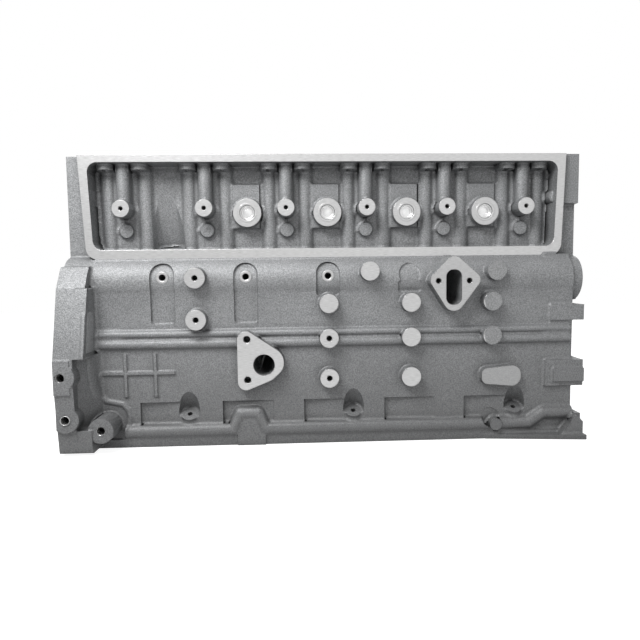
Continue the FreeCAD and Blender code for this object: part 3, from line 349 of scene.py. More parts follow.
@dataclass(frozen=True)
class SteelFinish:
    """Turned or pressed metal, plated, blackened or bare, with faint stains and fine marks."""

    name: str
    tone: float
    warmth: float = 0.0
    metallic: float = 1.0
    roughness: float = 0.3
    roughness_swing: tuple = (-0.06, 0.1)
    stain: float = 6.0
    stain_fade: tuple = (0.35, 0.7)
    stain_tone: float = 0.94
    marks: float = 0.6
    marks_fade: tuple = (0.25, 0.75)
    mark_depth: float = 0.05

    def material(self) -> bpy.types.Material:
        """Return the material."""
        g = Graph(self.name)
        stain = g.span(g.noise(self.stain, detail=3.0), *self.stain_fade)
        marks = g.noise(self.marks)
        stained = grey(self.tone * self.stain_tone, self.warmth)
        g.feed(g.shader.inputs["Base Color"], g.blend(stain, grey(self.tone, self.warmth), stained))
        g.shader.inputs["Metallic"].default_value = self.metallic
        smooth, dull = (self.roughness + change for change in self.roughness_swing)
        g.feed(g.shader.inputs["Roughness"], g.span(marks, *self.marks_fade, smooth, dull))
        g.feed(g.shader.inputs["Normal"], g.bump(marks, self.mark_depth))
        return g.material


# ---------------------------------------------------------------- the casting
@dataclass
class Casting:
    """The block's one casting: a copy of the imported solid, with its milled faces marked.

    Each row of `faces` is an axis, a place on it and how far the flat faces there are milled.
    Each row of `bores` is an axis, the bore's centre across it, its radius and the same share.
    `worn_lugs` says from which x to which x the lugs' faces are left nearly as cast.
    """

    node: str = "cylinder_block"
    faces: tuple = (
        ("z", 323.0, 1.0),
        ("z", -103.0, 0.9),
        ("z", 0.0, 0.9),
        ("x", -380.0, 0.9),
        ("x", 382.0, 0.9),
        ("y", -118.0, 1.0),
        ("y", -150.0, 1.0),
        ("y", -158.0, 0.75),
        ("y", -146.0, 0.5),
        ("y", -104.0, 0.9),
        ("y", 114.0, 0.9),
        ("y", 86.0, 0.9),
    )
    worn_lugs: tuple = (230.0, 262.0, 0.15)
    lug_face: float = -150.0
    bores: tuple = (
        *(("z", ((number - 2.5) * 120.0, 0.0), 51.0, 0.95) for number in range(6)),
        ("x", (0.0, 0.0), 44.0, 1.0),
        ("x", (-98.0, 137.0), 27.5, 0.9),
        ("x", (-98.0, 137.0), 30.0, 0.9),
    )
    level: float = 0.15
    wall_level: float = 0.3
    crease: float = 32.0

    def build(self, source: bpy.types.Object, finish: bpy.types.Material) -> bpy.types.Object:
        """Copy the solid, join its loose triangles and mark what is milled.

        Args:
            source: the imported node.
            finish: the casting's material.

        Returns:
            The new piece.
        """
        mesh = merged_copy(source.data, "block_casting")
        normals, centres = face_arrays(mesh)
        milled = np.zeros(len(mesh.polygons), dtype=np.float32)
        for axis, place, share in self.faces:
            column = "xyz".index(axis)
            flat = np.abs(normals[:, column]) > 0.999
            near = np.abs(centres[:, column] - place) < self.level
            milled[flat & near] = share
        low, high, share = self.worn_lugs
        lugs = np.abs(centres[:, 1] - self.lug_face) < self.level
        milled[lugs & (centres[:, 0] > low) & (centres[:, 0] < high)] = share
        for axis, centre, radius, share in self.bores:
            along = "xyz".index(axis)
            reach = np.hypot(*(np.delete(centres, along, axis=1) - centre).T)
            walls = (np.abs(reach - radius) < self.wall_level) & (np.abs(normals[:, along]) < 0.01)
            milled[walls] = share
        return self.finish(mesh, milled, finish)

    def finish(
        self, mesh: bpy.types.Mesh, milled: np.ndarray, finish: bpy.types.Material
    ) -> bpy.types.Object:
        """Give the mesh its attribute and material, and put it in the scene.

        Args:
            mesh: the joined mesh.
            milled: how far each face is milled, from 0 to 1.
            finish: the casting's material.

        Returns:
            The new piece.
        """
        mesh.set_sharp_from_angle(angle=math.radians(self.crease))
        piece = place_casting(mesh, milled, finish)
        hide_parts(self.node)
        return piece


def in_scene(name: str, data: bpy.types.ID) -> bpy.types.Object:
    """Put a mesh, lamp or camera in the scene.

    Args:
        name: the object's name.
        data: the mesh, lamp or camera.

    Returns:
        The new object.
    """
    item = bpy.data.objects.new(name, data)
    bpy.context.scene.collection.objects.link(item)
    return item


def report(piece: bpy.types.Object) -> None:
    """Log a piece's name and how many faces it has."""
    LOG.info("%s: %d faces", piece.name, len(piece.data.polygons))


def fitting(mesh: bpy.types.Mesh, finish: bpy.types.Material) -> bpy.types.Object:
    """Put a piece of the block in the scene.

    Args:
        mesh: the piece's mesh.
        finish: its material.

    Returns:
        The new piece.
    """
    mesh.materials.append(finish)
    piece = in_scene(mesh.name, mesh)
    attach(piece, BODY)
    return piece


def place_casting(
    mesh: bpy.types.Mesh, milled: object, finish: bpy.types.Material
) -> bpy.types.Object:
    """Put a cast mesh in the scene with its finish.

    Args:
        mesh: the mesh.
        milled: how far each face is milled, from 0 to 1, or one number for all of them.
        finish: the casting's material.

    Returns:
        The new piece.
    """
    shares = np.ascontiguousarray(np.broadcast_to(np.float32(milled), len(mesh.polygons)))
    mesh.attributes.new("machined", "FLOAT", "FACE").data.foreach_set("value", shares)
    return fitting(mesh, finish)


def triangle_arrays(mesh: bpy.types.Mesh) -> tuple:
    """Read a mesh of triangles.

    Args:
        mesh: the mesh to read.

    Returns:
        Its points in metres, and its triangles' point numbers.
    """
    places = np.zeros(len(mesh.vertices) * 3)
    mesh.vertices.foreach_get("co", places)
    corners = np.zeros(len(mesh.loops), dtype=np.int64)
    mesh.loops.foreach_get("vertex_index", corners)
    return places.reshape(-1, 3), corners.reshape(-1, 3)


def merged_copy(source: bpy.types.Mesh, name: str) -> bpy.types.Mesh:
    """Copy a mesh of loose triangles with its doubled vertices joined.

    Args:
        source: the mesh to copy.
        name: the new mesh's name.

    Returns:
        The joined mesh.
    """
    return mesh_of(name, *joined(*triangle_arrays(source)))


def joined(points: np.ndarray, triangles: np.ndarray) -> tuple:
    """Join points less than about 0.002 mm apart, and drop the triangles that lose a side by it.

    Args:
        points: places in metres, one a row.
        triangles: three point numbers a row.

    Returns:
        The points that are left, and the triangles that are whole.
    """
    keys = np.round(points / (0.002 * MM)).astype(np.int64)
    _, first, number = np.unique(keys, axis=0, return_index=True, return_inverse=True)
    moved = number.reshape(-1)[triangles]
    whole = (moved != np.roll(moved, 1, axis=1)).all(axis=1)
    return points[first], moved[whole]


def mesh_of(name: str, points: np.ndarray, faces: np.ndarray) -> bpy.types.Mesh:
    """Make a mesh from arrays.

    Args:
        name: the mesh's name.
        points: places of the vertices in metres, one a row.
        faces: vertex numbers of each face, one face a row.

    Returns:
        The mesh.
    """
    mesh = bpy.data.meshes.new(name)
    count, sides = faces.shape
    mesh.vertices.add(len(points))
    mesh.vertices.foreach_set("co", np.ascontiguousarray(points, dtype=np.float32).ravel())
    mesh.loops.add(count * sides)
    mesh.loops.foreach_set("vertex_index", np.ascontiguousarray(faces, dtype=np.int32).ravel())
    mesh.polygons.add(count)
    mesh.polygons.foreach_set("loop_start", np.arange(0, count * sides, sides, dtype=np.int32))
    mesh.update(calc_edges=True)
    mesh.validate()
    return mesh


def face_arrays(mesh: bpy.types.Mesh) -> tuple:
    """Read a mesh's faces.

    Args:
        mesh: the mesh to read.

    Returns:
        The faces' normals, and their centres in millimetres.
    """
    count = len(mesh.polygons)
    normals = np.zeros(count * 3)
    centres = np.zeros(count * 3)
    mesh.polygons.foreach_get("normal", normals)
    mesh.polygons.foreach_get("center", centres)
    return normals.reshape(-1, 3), centres.reshape(-1, 3) / MM


# ---------------------------------------------------------------- cast fillets
class Side(Enum):
    """A long side of the block, named by what stands there, with the sign of its outward Y."""

    CAM = -1.0
    EXHAUST = 1.0


@dataclass(frozen=True)
class Bead:
    """A low rounded ridge along a line of (x, z) points.

    Its height at a distance d from the line is height * sqrt(1 - (d / half_width)^2).
    """

    line: tuple
    half_width: float
    height: float

    def rise(self, across: np.ndarray, up: np.ndarray) -> np.ndarray:
        """Work out how far the ridge raises each grid point, in millimetres.

        Args:
            across: x of the grid points.
            up: z of the grid points.

        Returns:
            The rise at each point.
        """
        nearest = np.full_like(across, np.inf)
        for (x, z), (next_x, next_z) in zip(self.line, self.line[1:]):
            run, climb = next_x - x, next_z - z
            share = ((across - x) * run + (up - z) * climb) / (run**2 + climb**2)
            share = np.clip(share, 0.0, 1.0)
            away = np.hypot(across - x - share * run, up - z - share * climb)
            nearest = np.minimum(nearest, away)
        return self.height * np.sqrt(np.clip(1.0 - (nearest / self.half_width) ** 2, 0.0, None))


@dataclass(frozen=True)
class SoftZone:
    """Part of a side, from (x, z) to (x, z), whose inner corners are cast with a larger radius.

    The share of the larger radius at a point is its distance from the zone's edge / ramp, up to 1.
    """

    low: tuple
    high: tuple
    ramp: float = 8.0

    def share(self, across: np.ndarray, up: np.ndarray) -> np.ndarray:
        """Work out how far inside the zone each grid point is, from 0 outside to 1.

        Args:
            across: x of the grid points.
            up: z of the grid points.

        Returns:
            The share of the larger radius at each point.
        """
        depth = np.minimum.reduce(
            (across - self.low[0], self.high[0] - across, up - self.low[1], self.high[1] - up)
        )
        return np.clip(depth / self.ramp, 0.0, 1.0)


@dataclass
class SideFillets:
    """Cast fillets along the inner corners of one long side.

    The side is read as a relief: `out` is how far the solid stands out at each x and z.
    A ball of radius R rolled over the relief can't reach the inner corners, and what it
    leaves below it is the fillet:
    rolled(p) = min over |s| <= R of (max over |t| <= R of (out(p+s+t) + cap(t)) - cap(s)),
    where cap(s) = sqrt(R^2 - |s|^2).
    The small radius rules outside the `zones` and the large one inside them, `beads` are
    raised before the ball rolls, and no fillet is laid on a `bare` circle of (x, z, radius).
    """

    side: Side
    name: str
    step: float = 0.9
    margin: float = 0.4
    start: float = 210.0
    small_radius: float = 3.0
    large_radius: float = 5.0
    least_lift: float = 0.05
    spare_lift: float = 0.5
    zones: tuple = ()
    beads: tuple = ()
    bare: tuple = ()

    def build(self, solid: bpy.types.Object, finish: bpy.types.Material) -> bpy.types.Object:
        """Roll the ball over the side and keep the fillets it leaves.

        Args:
            solid: the joined casting.
            finish: the casting's material.

        Returns:
            The fillets, as one piece.
        """
        low, high = (np.array(corner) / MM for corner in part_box("cylinder_block"))
        x = np.arange(low[0] + self.margin, high[0], self.step)
        z = np.arange(low[2] + self.margin, high[2], self.step)
        across, up = np.meshgrid(x, z)
        out = self.relief(solid, across, up)
        raised = out + sum((bead.rise(across, up) for bead in self.beads), np.zeros_like(out))
        share = np.zeros_like(out)
        for zone in self.zones:
            share = np.maximum(share, zone.share(across, up))
        rolled = self.roll(raised, self.small_radius)
        if self.zones:
            rolled += share * (self.roll(raised, self.large_radius) - rolled)
        rolled = np.minimum(rolled, out.max())
        for x, z, radius in self.bare:
            rolled = np.where(np.hypot(across - x, up - z) < radius, out, rolled)
        lift = rolled - out
        points = np.stack((across, self.side.value * rolled, up), axis=-1).reshape(-1, 3) * MM
        radius = self.small_radius + share * (self.large_radius - self.small_radius)
        faces = self.cells(lift, lift < radius + (raised - out) + self.spare_lift)
        used, renumbered = np.unique(faces, return_inverse=True)
        mesh = mesh_of(self.name, points[used], renumbered.reshape(faces.shape))
        return place_casting(mesh, 0.0, finish)

    def relief(self, solid: bpy.types.Object, across: np.ndarray, up: np.ndarray) -> np.ndarray:
        """Measure how far the solid stands out behind each grid point.

        A flat grid is pushed straight along Y onto the solid.

        Args:
            solid: the joined casting.
            across: x of the grid points.
            up: z of the grid points.

        Returns:
            How far out the solid's surface is at each point, in millimetres.
        """
        plane = np.full_like(across, self.side.value * self.start)
        points = np.stack((across, plane, up), axis=-1).reshape(-1, 3) * MM
        mesh = mesh_of("probe", points, grid_faces(*across.shape))
        probe = in_scene("probe", mesh)
        wrap = probe.modifiers.new("press", "SHRINKWRAP")
        wrap.wrap_method = "PROJECT"
        wrap.use_project_y = True
        wrap.use_positive_direction = self.side is Side.CAM
        wrap.use_negative_direction = self.side is Side.EXHAUST
        wrap.target = solid
        pressed = probe.evaluated_get(bpy.context.evaluated_depsgraph_get()).to_mesh()
        places = np.zeros(across.size * 3)
        pressed.vertices.foreach_get("co", places)
        bpy.data.objects.remove(probe)
        out = places.reshape(-1, 3)[:, 1].reshape(across.shape) * self.side.value / MM
        return np.where(out > self.start - 1.0, -self.start, out)

    def roll(self, out: np.ndarray, radius: float) -> np.ndarray:
        """Roll a ball over the relief.

        Args:
            out: the relief in millimetres.
            radius: the ball's radius in millimetres.

        Returns:
            The relief with its inner corners filled.
        """
        reach = int(radius / self.step)
        shifts = [
            (row, column, math.sqrt(radius**2 - (row**2 + column**2) * self.step**2))
            for row in range(-reach, reach + 1)
            for column in range(-reach, reach + 1)
            if (row**2 + column**2) * self.step**2 <= radius**2
        ]
        raised = shifted_extreme(out, shifts, np.maximum, reach)
        lowered = [(row, column, -cap) for row, column, cap in shifts]
        return shifted_extreme(raised, lowered, np.minimum, reach)

    def cells(self, lift: np.ndarray, shallow: np.ndarray) -> np.ndarray:
        """Choose the grid cells in which the fillet stands clear of the solid and spans no hole.

        Args:
            lift: how far the rolled relief stands out from the solid.
            shallow: where the lift is no more than a fillet's.

        Returns:
            The cells' vertex numbers, four a row.
        """
        faces = grid_faces(*lift.shape)
        if self.side is Side.EXHAUST:
            faces = faces[:, ::-1]
        seen = lift.reshape(-1)[faces].max(axis=1) > self.least_lift
        return faces[seen & shallow.reshape(-1)[faces].all(axis=1)]


# The leaning lugs' holes as (x, z, radius), and the line (x, z) along the flange and its foot.
LEANING_LUGS = tuple((x, -57.0, 9.0) for x in (-206.6, 36.0, 279.6))
FLANGE_LINE = (
    *((-340.0, 92.0), (-340.0, 30.0), (-338.0, -10.0), (-334.0, -26.0), (-326.0, -34.0)),
    *((-314.0, -36.5), (-303.0, -39.0), (-295.5, -47.0), (-292.5, -58.0)),
    *((-295.0, -68.0), (-300.0, -76.0)),
)


def cam_side_fillets() -> SideFillets:
    """Return the cam side's fillets, which are larger at both ends, at the rail and in the bay."""
    front_end = SoftZone((-390.0, -18.0), (-296.0, 172.0))
    rear_end = SoftZone((316.0, -110.0), (392.0, 176.0))
    pan_rail = SoftZone((-288.0, -100.0), (392.0, -52.0))
    tappet_bay = SoftZone((-350.0, 186.0), (352.0, 308.0), ramp=3.0)
    return SideFillets(
        Side.CAM,
        "cam_side_fillets",
        bare=LEANING_LUGS,
        zones=(front_end, rear_end, pan_rail, tappet_bay),
        beads=(Bead(FLANGE_LINE, half_width=3.8, height=2.3),),
    )


def shifted_extreme(values: np.ndarray, shifts: list, choose: np.ufunc, reach: int) -> np.ndarray:
    """Take the extreme of an array's shifted and offset copies.

    Args:
        values: a two-way array.
        shifts: rows, columns and offset of each copy.
        choose: numpy's maximum or minimum.
        reach: the longest shift.

    Returns:
        The extreme at each place.
    """
    rows, columns = values.shape
    padded = np.pad(values, reach, mode="edge")
    best = None
    for row, column, offset in shifts:
        top, left = reach + row, reach + column
        copy = padded[top : top + rows, left : left + columns] + offset
        best = copy if best is None else choose(best, copy)
    return best


def grid_faces(rows: int, columns: int) -> np.ndarray:
    """Number the cells of a grid whose points are counted row by row.

    Args:
        rows: points up.
        columns: points across.

    Returns:
        Four vertex numbers for each cell, turning so that the cell faces -Y on an x-z grid.
    """
    numbers = np.arange(rows * columns).reshape(rows, columns)
    corners = (numbers[:-1, :-1], numbers[:-1, 1:], numbers[1:, 1:], numbers[1:, :-1])
    return np.stack(corners, axis=-1).reshape(-1, 4)


# ---------------------------------------------------------------- turned pieces
@dataclass(frozen=True)
class Hole:
    """A round hole: the middle of its mouth in millimetres, the way into it, and its radius."""

    mouth: tuple
    inward: tuple
    radius: float


def turned(radii: np.ndarray, depths: np.ndarray) -> tuple:
    """Turn a profile about an axis that runs into the hole.

    Point (i, a) = (radius(i, a) cos a, radius(i, a) sin a, depth(i)), for angles a evenly round
    the circle. A profile that runs from the mouth's middle outwards and then inwards faces outward.

    Args:
        radii: the profile's radius at each row and angle, in millimetres.
        depths: the profile's depth at each row, in millimetres.

    Returns:
        Points in millimetres about the hole's mouth, and triangles.
    """
    rows, segments = radii.shape
    angle = np.arange(segments) * 2 * np.pi / segments
    deep = np.repeat(depths[:, None], segments, 1)
    points = np.stack((radii * np.cos(angle), radii * np.sin(angle), deep), axis=-1)
    numbers = np.arange(rows * segments).reshape(rows, segments)
    ahead = np.roll(numbers, -1, axis=1)
    low, low_ahead = numbers[:-1].ravel(), ahead[:-1].ravel()
    high, high_ahead = numbers[1:].ravel(), ahead[1:].ravel()
    halves = ((low, low_ahead, high_ahead), (low, high_ahead, high))
    triangles = np.concatenate([np.stack(half, axis=-1) for half in halves])
    return points.reshape(-1, 3), triangles


def round_turned(profile: np.ndarray, segments: int) -> tuple:
    """Turn a profile of (radius, depth) rows whose radius is the same at every angle.

    Args:
        profile: the profile, in millimetres.
        segments: how many angles the circle has.

    Returns:
        Points in millimetres about the hole's mouth, and triangles.
    """
    return turned(np.repeat(profile[:, :1], segments, 1), profile[:, 1])


def rounded(corners: tuple, passes: int = 2) -> np.ndarray:
    """Round a profile's corners by cutting each one a quarter of the way along its two sides.

    Args:
        corners: (radius, depth) of each corner; the first and the last one stay.
        passes: how many times the corners are cut.

    Returns:
        The rounded profile, one (radius, depth) a row.
    """
    line = np.array(corners, dtype=float)
    for _ in range(passes):
        near = line[:-1] * 0.75 + line[1:] * 0.25
        far = line[:-1] * 0.25 + line[1:] * 0.75
        cut = np.stack((near, far), axis=1).reshape(-1, 2)
        line = np.concatenate((line[:1], cut, line[-1:]))
    return line


def set_in(name: str, points: np.ndarray, triangles: np.ndarray, holes: list) -> bpy.types.Mesh:
    """Set a copy of a turned shape in each of several holes.

    Args:
        name: the mesh's name.
        points: the shape's points in millimetres about a hole's mouth.
        triangles: its triangles.
        holes: the holes.

    Returns:
        One mesh of all the copies.
    """
    inward = np.array([hole.inward for hole in holes], dtype=float)
    first = np.cross(inward, np.roll(inward, 1, axis=1))
    second = np.cross(inward, first)
    basis = np.stack((first, second, inward), axis=1)
    mouths = np.array([hole.mouth for hole in holes], dtype=float)
    placed = np.einsum("pk,hkc->hpc", points, basis) + mouths[:, None, :]
    steps = np.arange(len(holes))[:, None, None] * len(points)
    numbers = (triangles[None] + steps).reshape(-1, 3)
    return mesh_of(name, *joined(placed.reshape(-1, 3) * MM, numbers))


@dataclass
class CupPlugs:
    """Pressed steel cup plugs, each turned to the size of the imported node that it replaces."""

    names: tuple = (
        *(f"tappet_bay_core_plug_{number}" for number in range(1, 5)),
        *(f"exhaust_side_core_plug_{number}" for number in range(1, 4)),
        "rear_camshaft_plug",
    )
    wall: float = 2.0
    dish: float = 0.9
    floor_bend: float = 1.6
    lip: float = 1.2
    back_bend: float = 1.2
    segments: int = 64

    def build(self, finish: bpy.types.Material) -> None:
        """Make the plugs.

        Args:
            finish: the plugs' material.
        """
        for name in self.names:
            low, high = (np.array(corner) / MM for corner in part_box(name))
            spans = high - low
            along = int(np.argmin(spans))
            outward = math.copysign(1.0, low[along] + high[along])
            mouth = (low + high) / 2
            mouth[along] = high[along] if outward > 0 else low[along]
            inward = np.zeros(3)
            inward[along] = -outward
            hole = Hole(tuple(mouth), tuple(inward), float(spans.max()) / 2)
            profile = self.profile(hole.radius, float(spans[along]))
            cup = set_in(f"{name}_cup", *round_turned(profile, self.segments), [hole])
            piece = fitting(cup, finish)
            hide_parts(name)
            report(piece)

    def profile(self, radius: float, depth: float) -> np.ndarray:
        """Draw half the cup's section, from its floor's middle over its lip and round to its back.

        Args:
            radius: the cup's outer radius.
            depth: the cup's depth.

        Returns:
            The section, one (radius, depth) a row.
        """
        bore, floor = radius - self.wall, depth - self.wall
        dished_floor = (
            (0.0, floor - self.dish),
            (bore * 0.55, floor - 0.7),
            (bore - self.floor_bend, floor),
            (bore - 0.2, floor - 0.6),
        )
        lip = ((bore, self.lip), (bore + 0.2, 0.0), (radius - 0.3, 0.0), (radius, 0.9))
        back = ((radius, depth - 1.4), (radius - self.back_bend, depth), (0.0, depth))
        return rounded(dished_floor + lip + back)


@dataclass(frozen=True)
class Ring:
    """Sizes of a milled ring in millimetres: radii of bore and rim, height and bore's chamfer."""

    bore: float
    rim: float
    height: float
    chamfer: float
    rim_chamfer: float = 0.3


@dataclass
class SpotFaces:
    """Milled rings round the drillings in the three deep slots' heads and round the bay's plugs."""

    slot_ring: Ring = Ring(4.6, 8.7, 6.0, 0.9)
    slot_places: tuple = tuple((x, -133.4, 145.0) for x in (-240.0, -120.0, 0.0))
    plug_ring: Ring = Ring(11.05, 14.6, 1.0, 0.6)
    plug_places: tuple = tuple((x, -104.4, 240.0) for x in (-118.0, 2.0, 122.0, 242.0))
    milled: float = 0.95
    segments: int = 48
    crease: float = 30.0

    def build(self, finish: bpy.types.Material) -> bpy.types.Object:
        """Make the rings, each a closed washer that sits on its boss.

        Args:
            finish: the casting's material.

        Returns:
            The rings, as one piece.
        """
        slot_rings = self.washers("slot_ring", self.slot_ring, self.slot_places)
        plug_rings = self.washers("plug_ring", self.plug_ring, self.plug_places)
        mesh = together("spot_faces", [slot_rings, plug_rings])
        mesh.set_sharp_from_angle(angle=math.radians(self.crease))
        return place_casting(mesh, self.milled, finish)

    def washers(self, name: str, ring: Ring, places: tuple) -> bpy.types.Mesh:
        """Make equal washers on the cam side.

        Args:
            name: the mesh's name.
            ring: the washers' sizes.
            places: the middle of each washer's face.

        Returns:
            The washers, as one mesh.
        """
        inside, outside = (ring.bore, ring.height), (ring.rim, ring.height)
        bore_edge = ((ring.bore, ring.chamfer * 0.8), (ring.bore + ring.chamfer, 0.0))
        rim_edge = ((ring.rim - ring.rim_chamfer, 0.0), (ring.rim, ring.rim_chamfer))
        profile = rounded((inside, *bore_edge, *rim_edge, outside, inside), passes=1)
        holes = [Hole(place, (0.0, 1.0, 0.0), ring.bore) for place in places]
        return set_in(name, *round_turned(profile, self.segments), holes)


@dataclass
class Threads:
    """Threads cut in the tapped holes, each a closed sleeve in the hole's wall.

    The sleeve's inner radius is hole - tooth * |2 frac(depth / pitch - angle / turn) - 1|.
    """

    extra: tuple = (
        Hole((-371.0, -184.0, 10.0), (0.0, 1.0, 0.0), 6.4),
        Hole((-367.5, -184.0, -49.4), (0.0, 1.0, 0.0), 6.4),
        Hole((-322.5, -175.0, -67.5), (0.0, 1.0, 0.0), 6.2),
    )
    mouth: float = 0.5
    turns: int = 6
    rows_a_turn: int = 4
    segments: int = 20
    pitch_share: float = 0.32
    tooth_share: float = 0.12
    skin: float = 0.3
    milled: float = 0.9

    def holes(self, record: dict) -> list:
        """List the tapped holes that the record's bolt patterns give, and the extra ones.

        Args:
            record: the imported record.

        Returns:
            The holes.
        """
        found = list(self.extra)
        for row in record["mounts"]:
            if row["kind"] != "bolt_pattern":
                continue
            sizes = row["dims"]
            outward = np.array(row["axis"], dtype=float)
            second = (0.0, 0.0, 1.0) if abs(outward[1]) > 0.5 else (0.0, 1.0, 0.0)
            spread_x = (-0.5, 0.5) if "spacing_x_mm" in sizes else (0.0,)
            spread_y = (-0.5, 0.5) if "spacing_y_mm" in sizes else (0.0,)
            for share_x in spread_x:
                for share_y in spread_y:
                    shift = np.array((share_x * sizes.get("spacing_x_mm", 0.0), 0.0, 0.0))
                    shift = shift + np.array(second) * share_y * sizes.get("spacing_y_mm", 0.0)
                    mouth = np.array(row["pos_m"]) / MM + shift
                    found.append(Hole(tuple(mouth), tuple(-outward), sizes["hole_r_mm"]))
        return found

    def build(self, record: dict, finish: bpy.types.Material) -> bpy.types.Object:
        """Make the threads of every hole.

        Args:
            record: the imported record.
            finish: the casting's material.

        Returns:
            The threads, as one piece.
        """
        holes = self.holes(record)
        meshes = []
        for radius in sorted({hole.radius for hole in holes}):
            alike = [hole for hole in holes if hole.radius == radius]
            meshes.append(set_in("thread", *self.sleeve(radius), alike))
        return place_casting(together("tapped_threads", meshes), self.milled, finish)

    def sleeve(self, radius: float) -> tuple:
        """Make one threaded sleeve.

        Args:
            radius: the hole's radius.

        Returns:
            Points in millimetres about the hole's mouth, and triangles.
        """
        pitch, tooth = radius * self.pitch_share, radius * self.tooth_share
        bottom, rows = self.mouth + self.turns * pitch, self.turns * self.rows_a_turn + 1
        inner = np.linspace(bottom, self.mouth, rows)
        turn = np.arange(self.segments) / self.segments
        phase = inner[:, None] / pitch - turn[None, :]
        cut = radius - tooth * np.abs(2.0 * (phase - np.floor(phase)) - 1.0)
        back = np.full((2, self.segments), radius + self.skin)
        depths = np.concatenate((inner, (self.mouth, inner[0]), inner[:1]))
        return turned(np.concatenate((cut, back, cut[:1])), depths)


def together(name: str, meshes: list) -> bpy.types.Mesh:
    """Put several meshes of triangles together as one.

    Args:
        name: the new mesh's name.
        meshes: the meshes.

    Returns:
        The one mesh.
    """
    points, triangles, count = [], [], 0
    for mesh in meshes:
        places, corners = triangle_arrays(mesh)
        points.append(places)
        triangles.append(corners + count)
        count += len(places)
        bpy.data.meshes.remove(mesh)
    return mesh_of(name, np.concatenate(points), np.concatenate(triangles))


@dataclass
class CapBolts:
    """Fourteen hexagon-headed bolts that hold the main caps."""

    node: str = "main_cap_bolts"
    rows: int = 7
    pitch: float = 120.0
    offset: float = 58.0
    seat: float = -46.0
    head_height: float = 9.0
    corner_radius: float = 11.5
    shank_radius: float = 6.9
    crown_share: float = 0.95
    chamfer: float = 1.2
    tip: float = 50.0
    segments: int = 72
    crease: float = 20.0

    def build(self, finish: bpy.types.Material) -> bpy.types.Object:
        """Make the bolts.

        The head's radius at angle a is flat / cos(a') where a' is a's distance from the middle
        of the nearest flat, and its crown falls away by 30 degrees beyond crown_share of the flat.

        Args:
            finish: the bolts' material.

        Returns:
            The bolts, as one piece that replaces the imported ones.
        """
        angle = np.arange(self.segments) * 2 * np.pi / self.segments
        flat = self.corner_radius * math.cos(math.pi / 6)
        hexagon = flat / np.cos(np.mod(angle, math.pi / 3) - math.pi / 6)
        crown_radius = flat * self.crown_share
        crown = np.minimum(hexagon, crown_radius)
        shank, tip = self.shank_radius, self.shank_radius - self.chamfer
        rows = (0.0, crown, hexagon, hexagon, shank, shank, tip, 0.0)
        radii = np.stack([row * np.ones_like(angle) for row in rows])
        drop = (self.corner_radius - crown_radius) * math.tan(math.pi / 6)
        head, length = self.head_height, self.head_height + self.tip - self.seat
        depths = np.array((0.0, 0.0, drop, head, head, length - self.chamfer, length, length))
        points, triangles = turned(radii, depths)
        places = [
            ((number - self.rows // 2) * self.pitch, side * self.offset, self.seat - head)
            for number in range(self.rows)
            for side in (-1.0, 1.0)
        ]
        holes = [Hole(place, (0.0, 0.0, 1.0), flat) for place in places]
        mesh = set_in("cap_bolts", points, triangles, holes)
        mesh.set_sharp_from_angle(angle=math.radians(self.crease))
        piece = fitting(mesh, finish)
        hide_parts(self.node)
        return piece


# ---------------------------------------------------------------- fittings
@dataclass
class Fittings:
    """Bolts, plugs and bush, each given the finish of its slot."""

    finishes: dict = field(
        default_factory=lambda: {
            Slot.BOLT: SteelFinish("black_oxide", 0.3, 0.0, 0.7, 0.45),
            Slot.PLUG: SteelFinish("bright_plate", 0.84, 0.0, 1.0, 0.28),
            Slot.BUSH: SteelFinish("bearing_bronze", 0.72, 0.12, 1.0, 0.35),
        }
    )

    def dress(self, nodes: dict, record: dict) -> dict:
        """Give each packed fitting the material of its slot.

        Args:
            nodes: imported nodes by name.
            record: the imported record.

        Returns:
            The material of each slot.
        """
        slots = {row["node"]: row["material_slot"] for row in record["subparts"]}
        made = {slot: finish.material() for slot, finish in self.finishes.items()}
        for name, item in nodes.items():
            slot = Slot(slots[name])
            if slot in made:
                item.data.materials.clear()
                item.data.materials.append(made[slot])
                LOG.info("%s: %s", name, slot.value)
        return made


@dataclass
class Caps:
    """Seven main bearing caps, cast and milled like the block."""

    count: int = 7
    milled_faces: tuple = (("z", 0.0), ("y", 72.0), ("y", -72.0))
    milled: float = 0.9
    bore: float = 44.2
    level: float = 0.3

    def build(self, nodes: dict, finish: bpy.types.Material) -> None:
        """Replace each packed cap by a joined copy with its milled faces marked.

        Args:
            nodes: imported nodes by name.
            finish: the casting's material.
        """
        for number in range(1, self.count + 1):
            name = f"main_bearing_cap_{number}"
            mesh = merged_copy(nodes[name].data, f"bearing_cap_{number}")
            normals, centres = face_arrays(mesh)
            milled = np.zeros(len(mesh.polygons), dtype=np.float32)
            milled[np.hypot(centres[:, 1], centres[:, 2]) < self.bore] = 1.0
            for axis, place in self.milled_faces:
                column = "xyz".index(axis)
                near = np.abs(centres[:, column] - place) < self.level
                milled[near & (np.abs(normals[:, column]) > 0.99)] = self.milled
            report(Casting(node=name).finish(mesh, milled, finish))


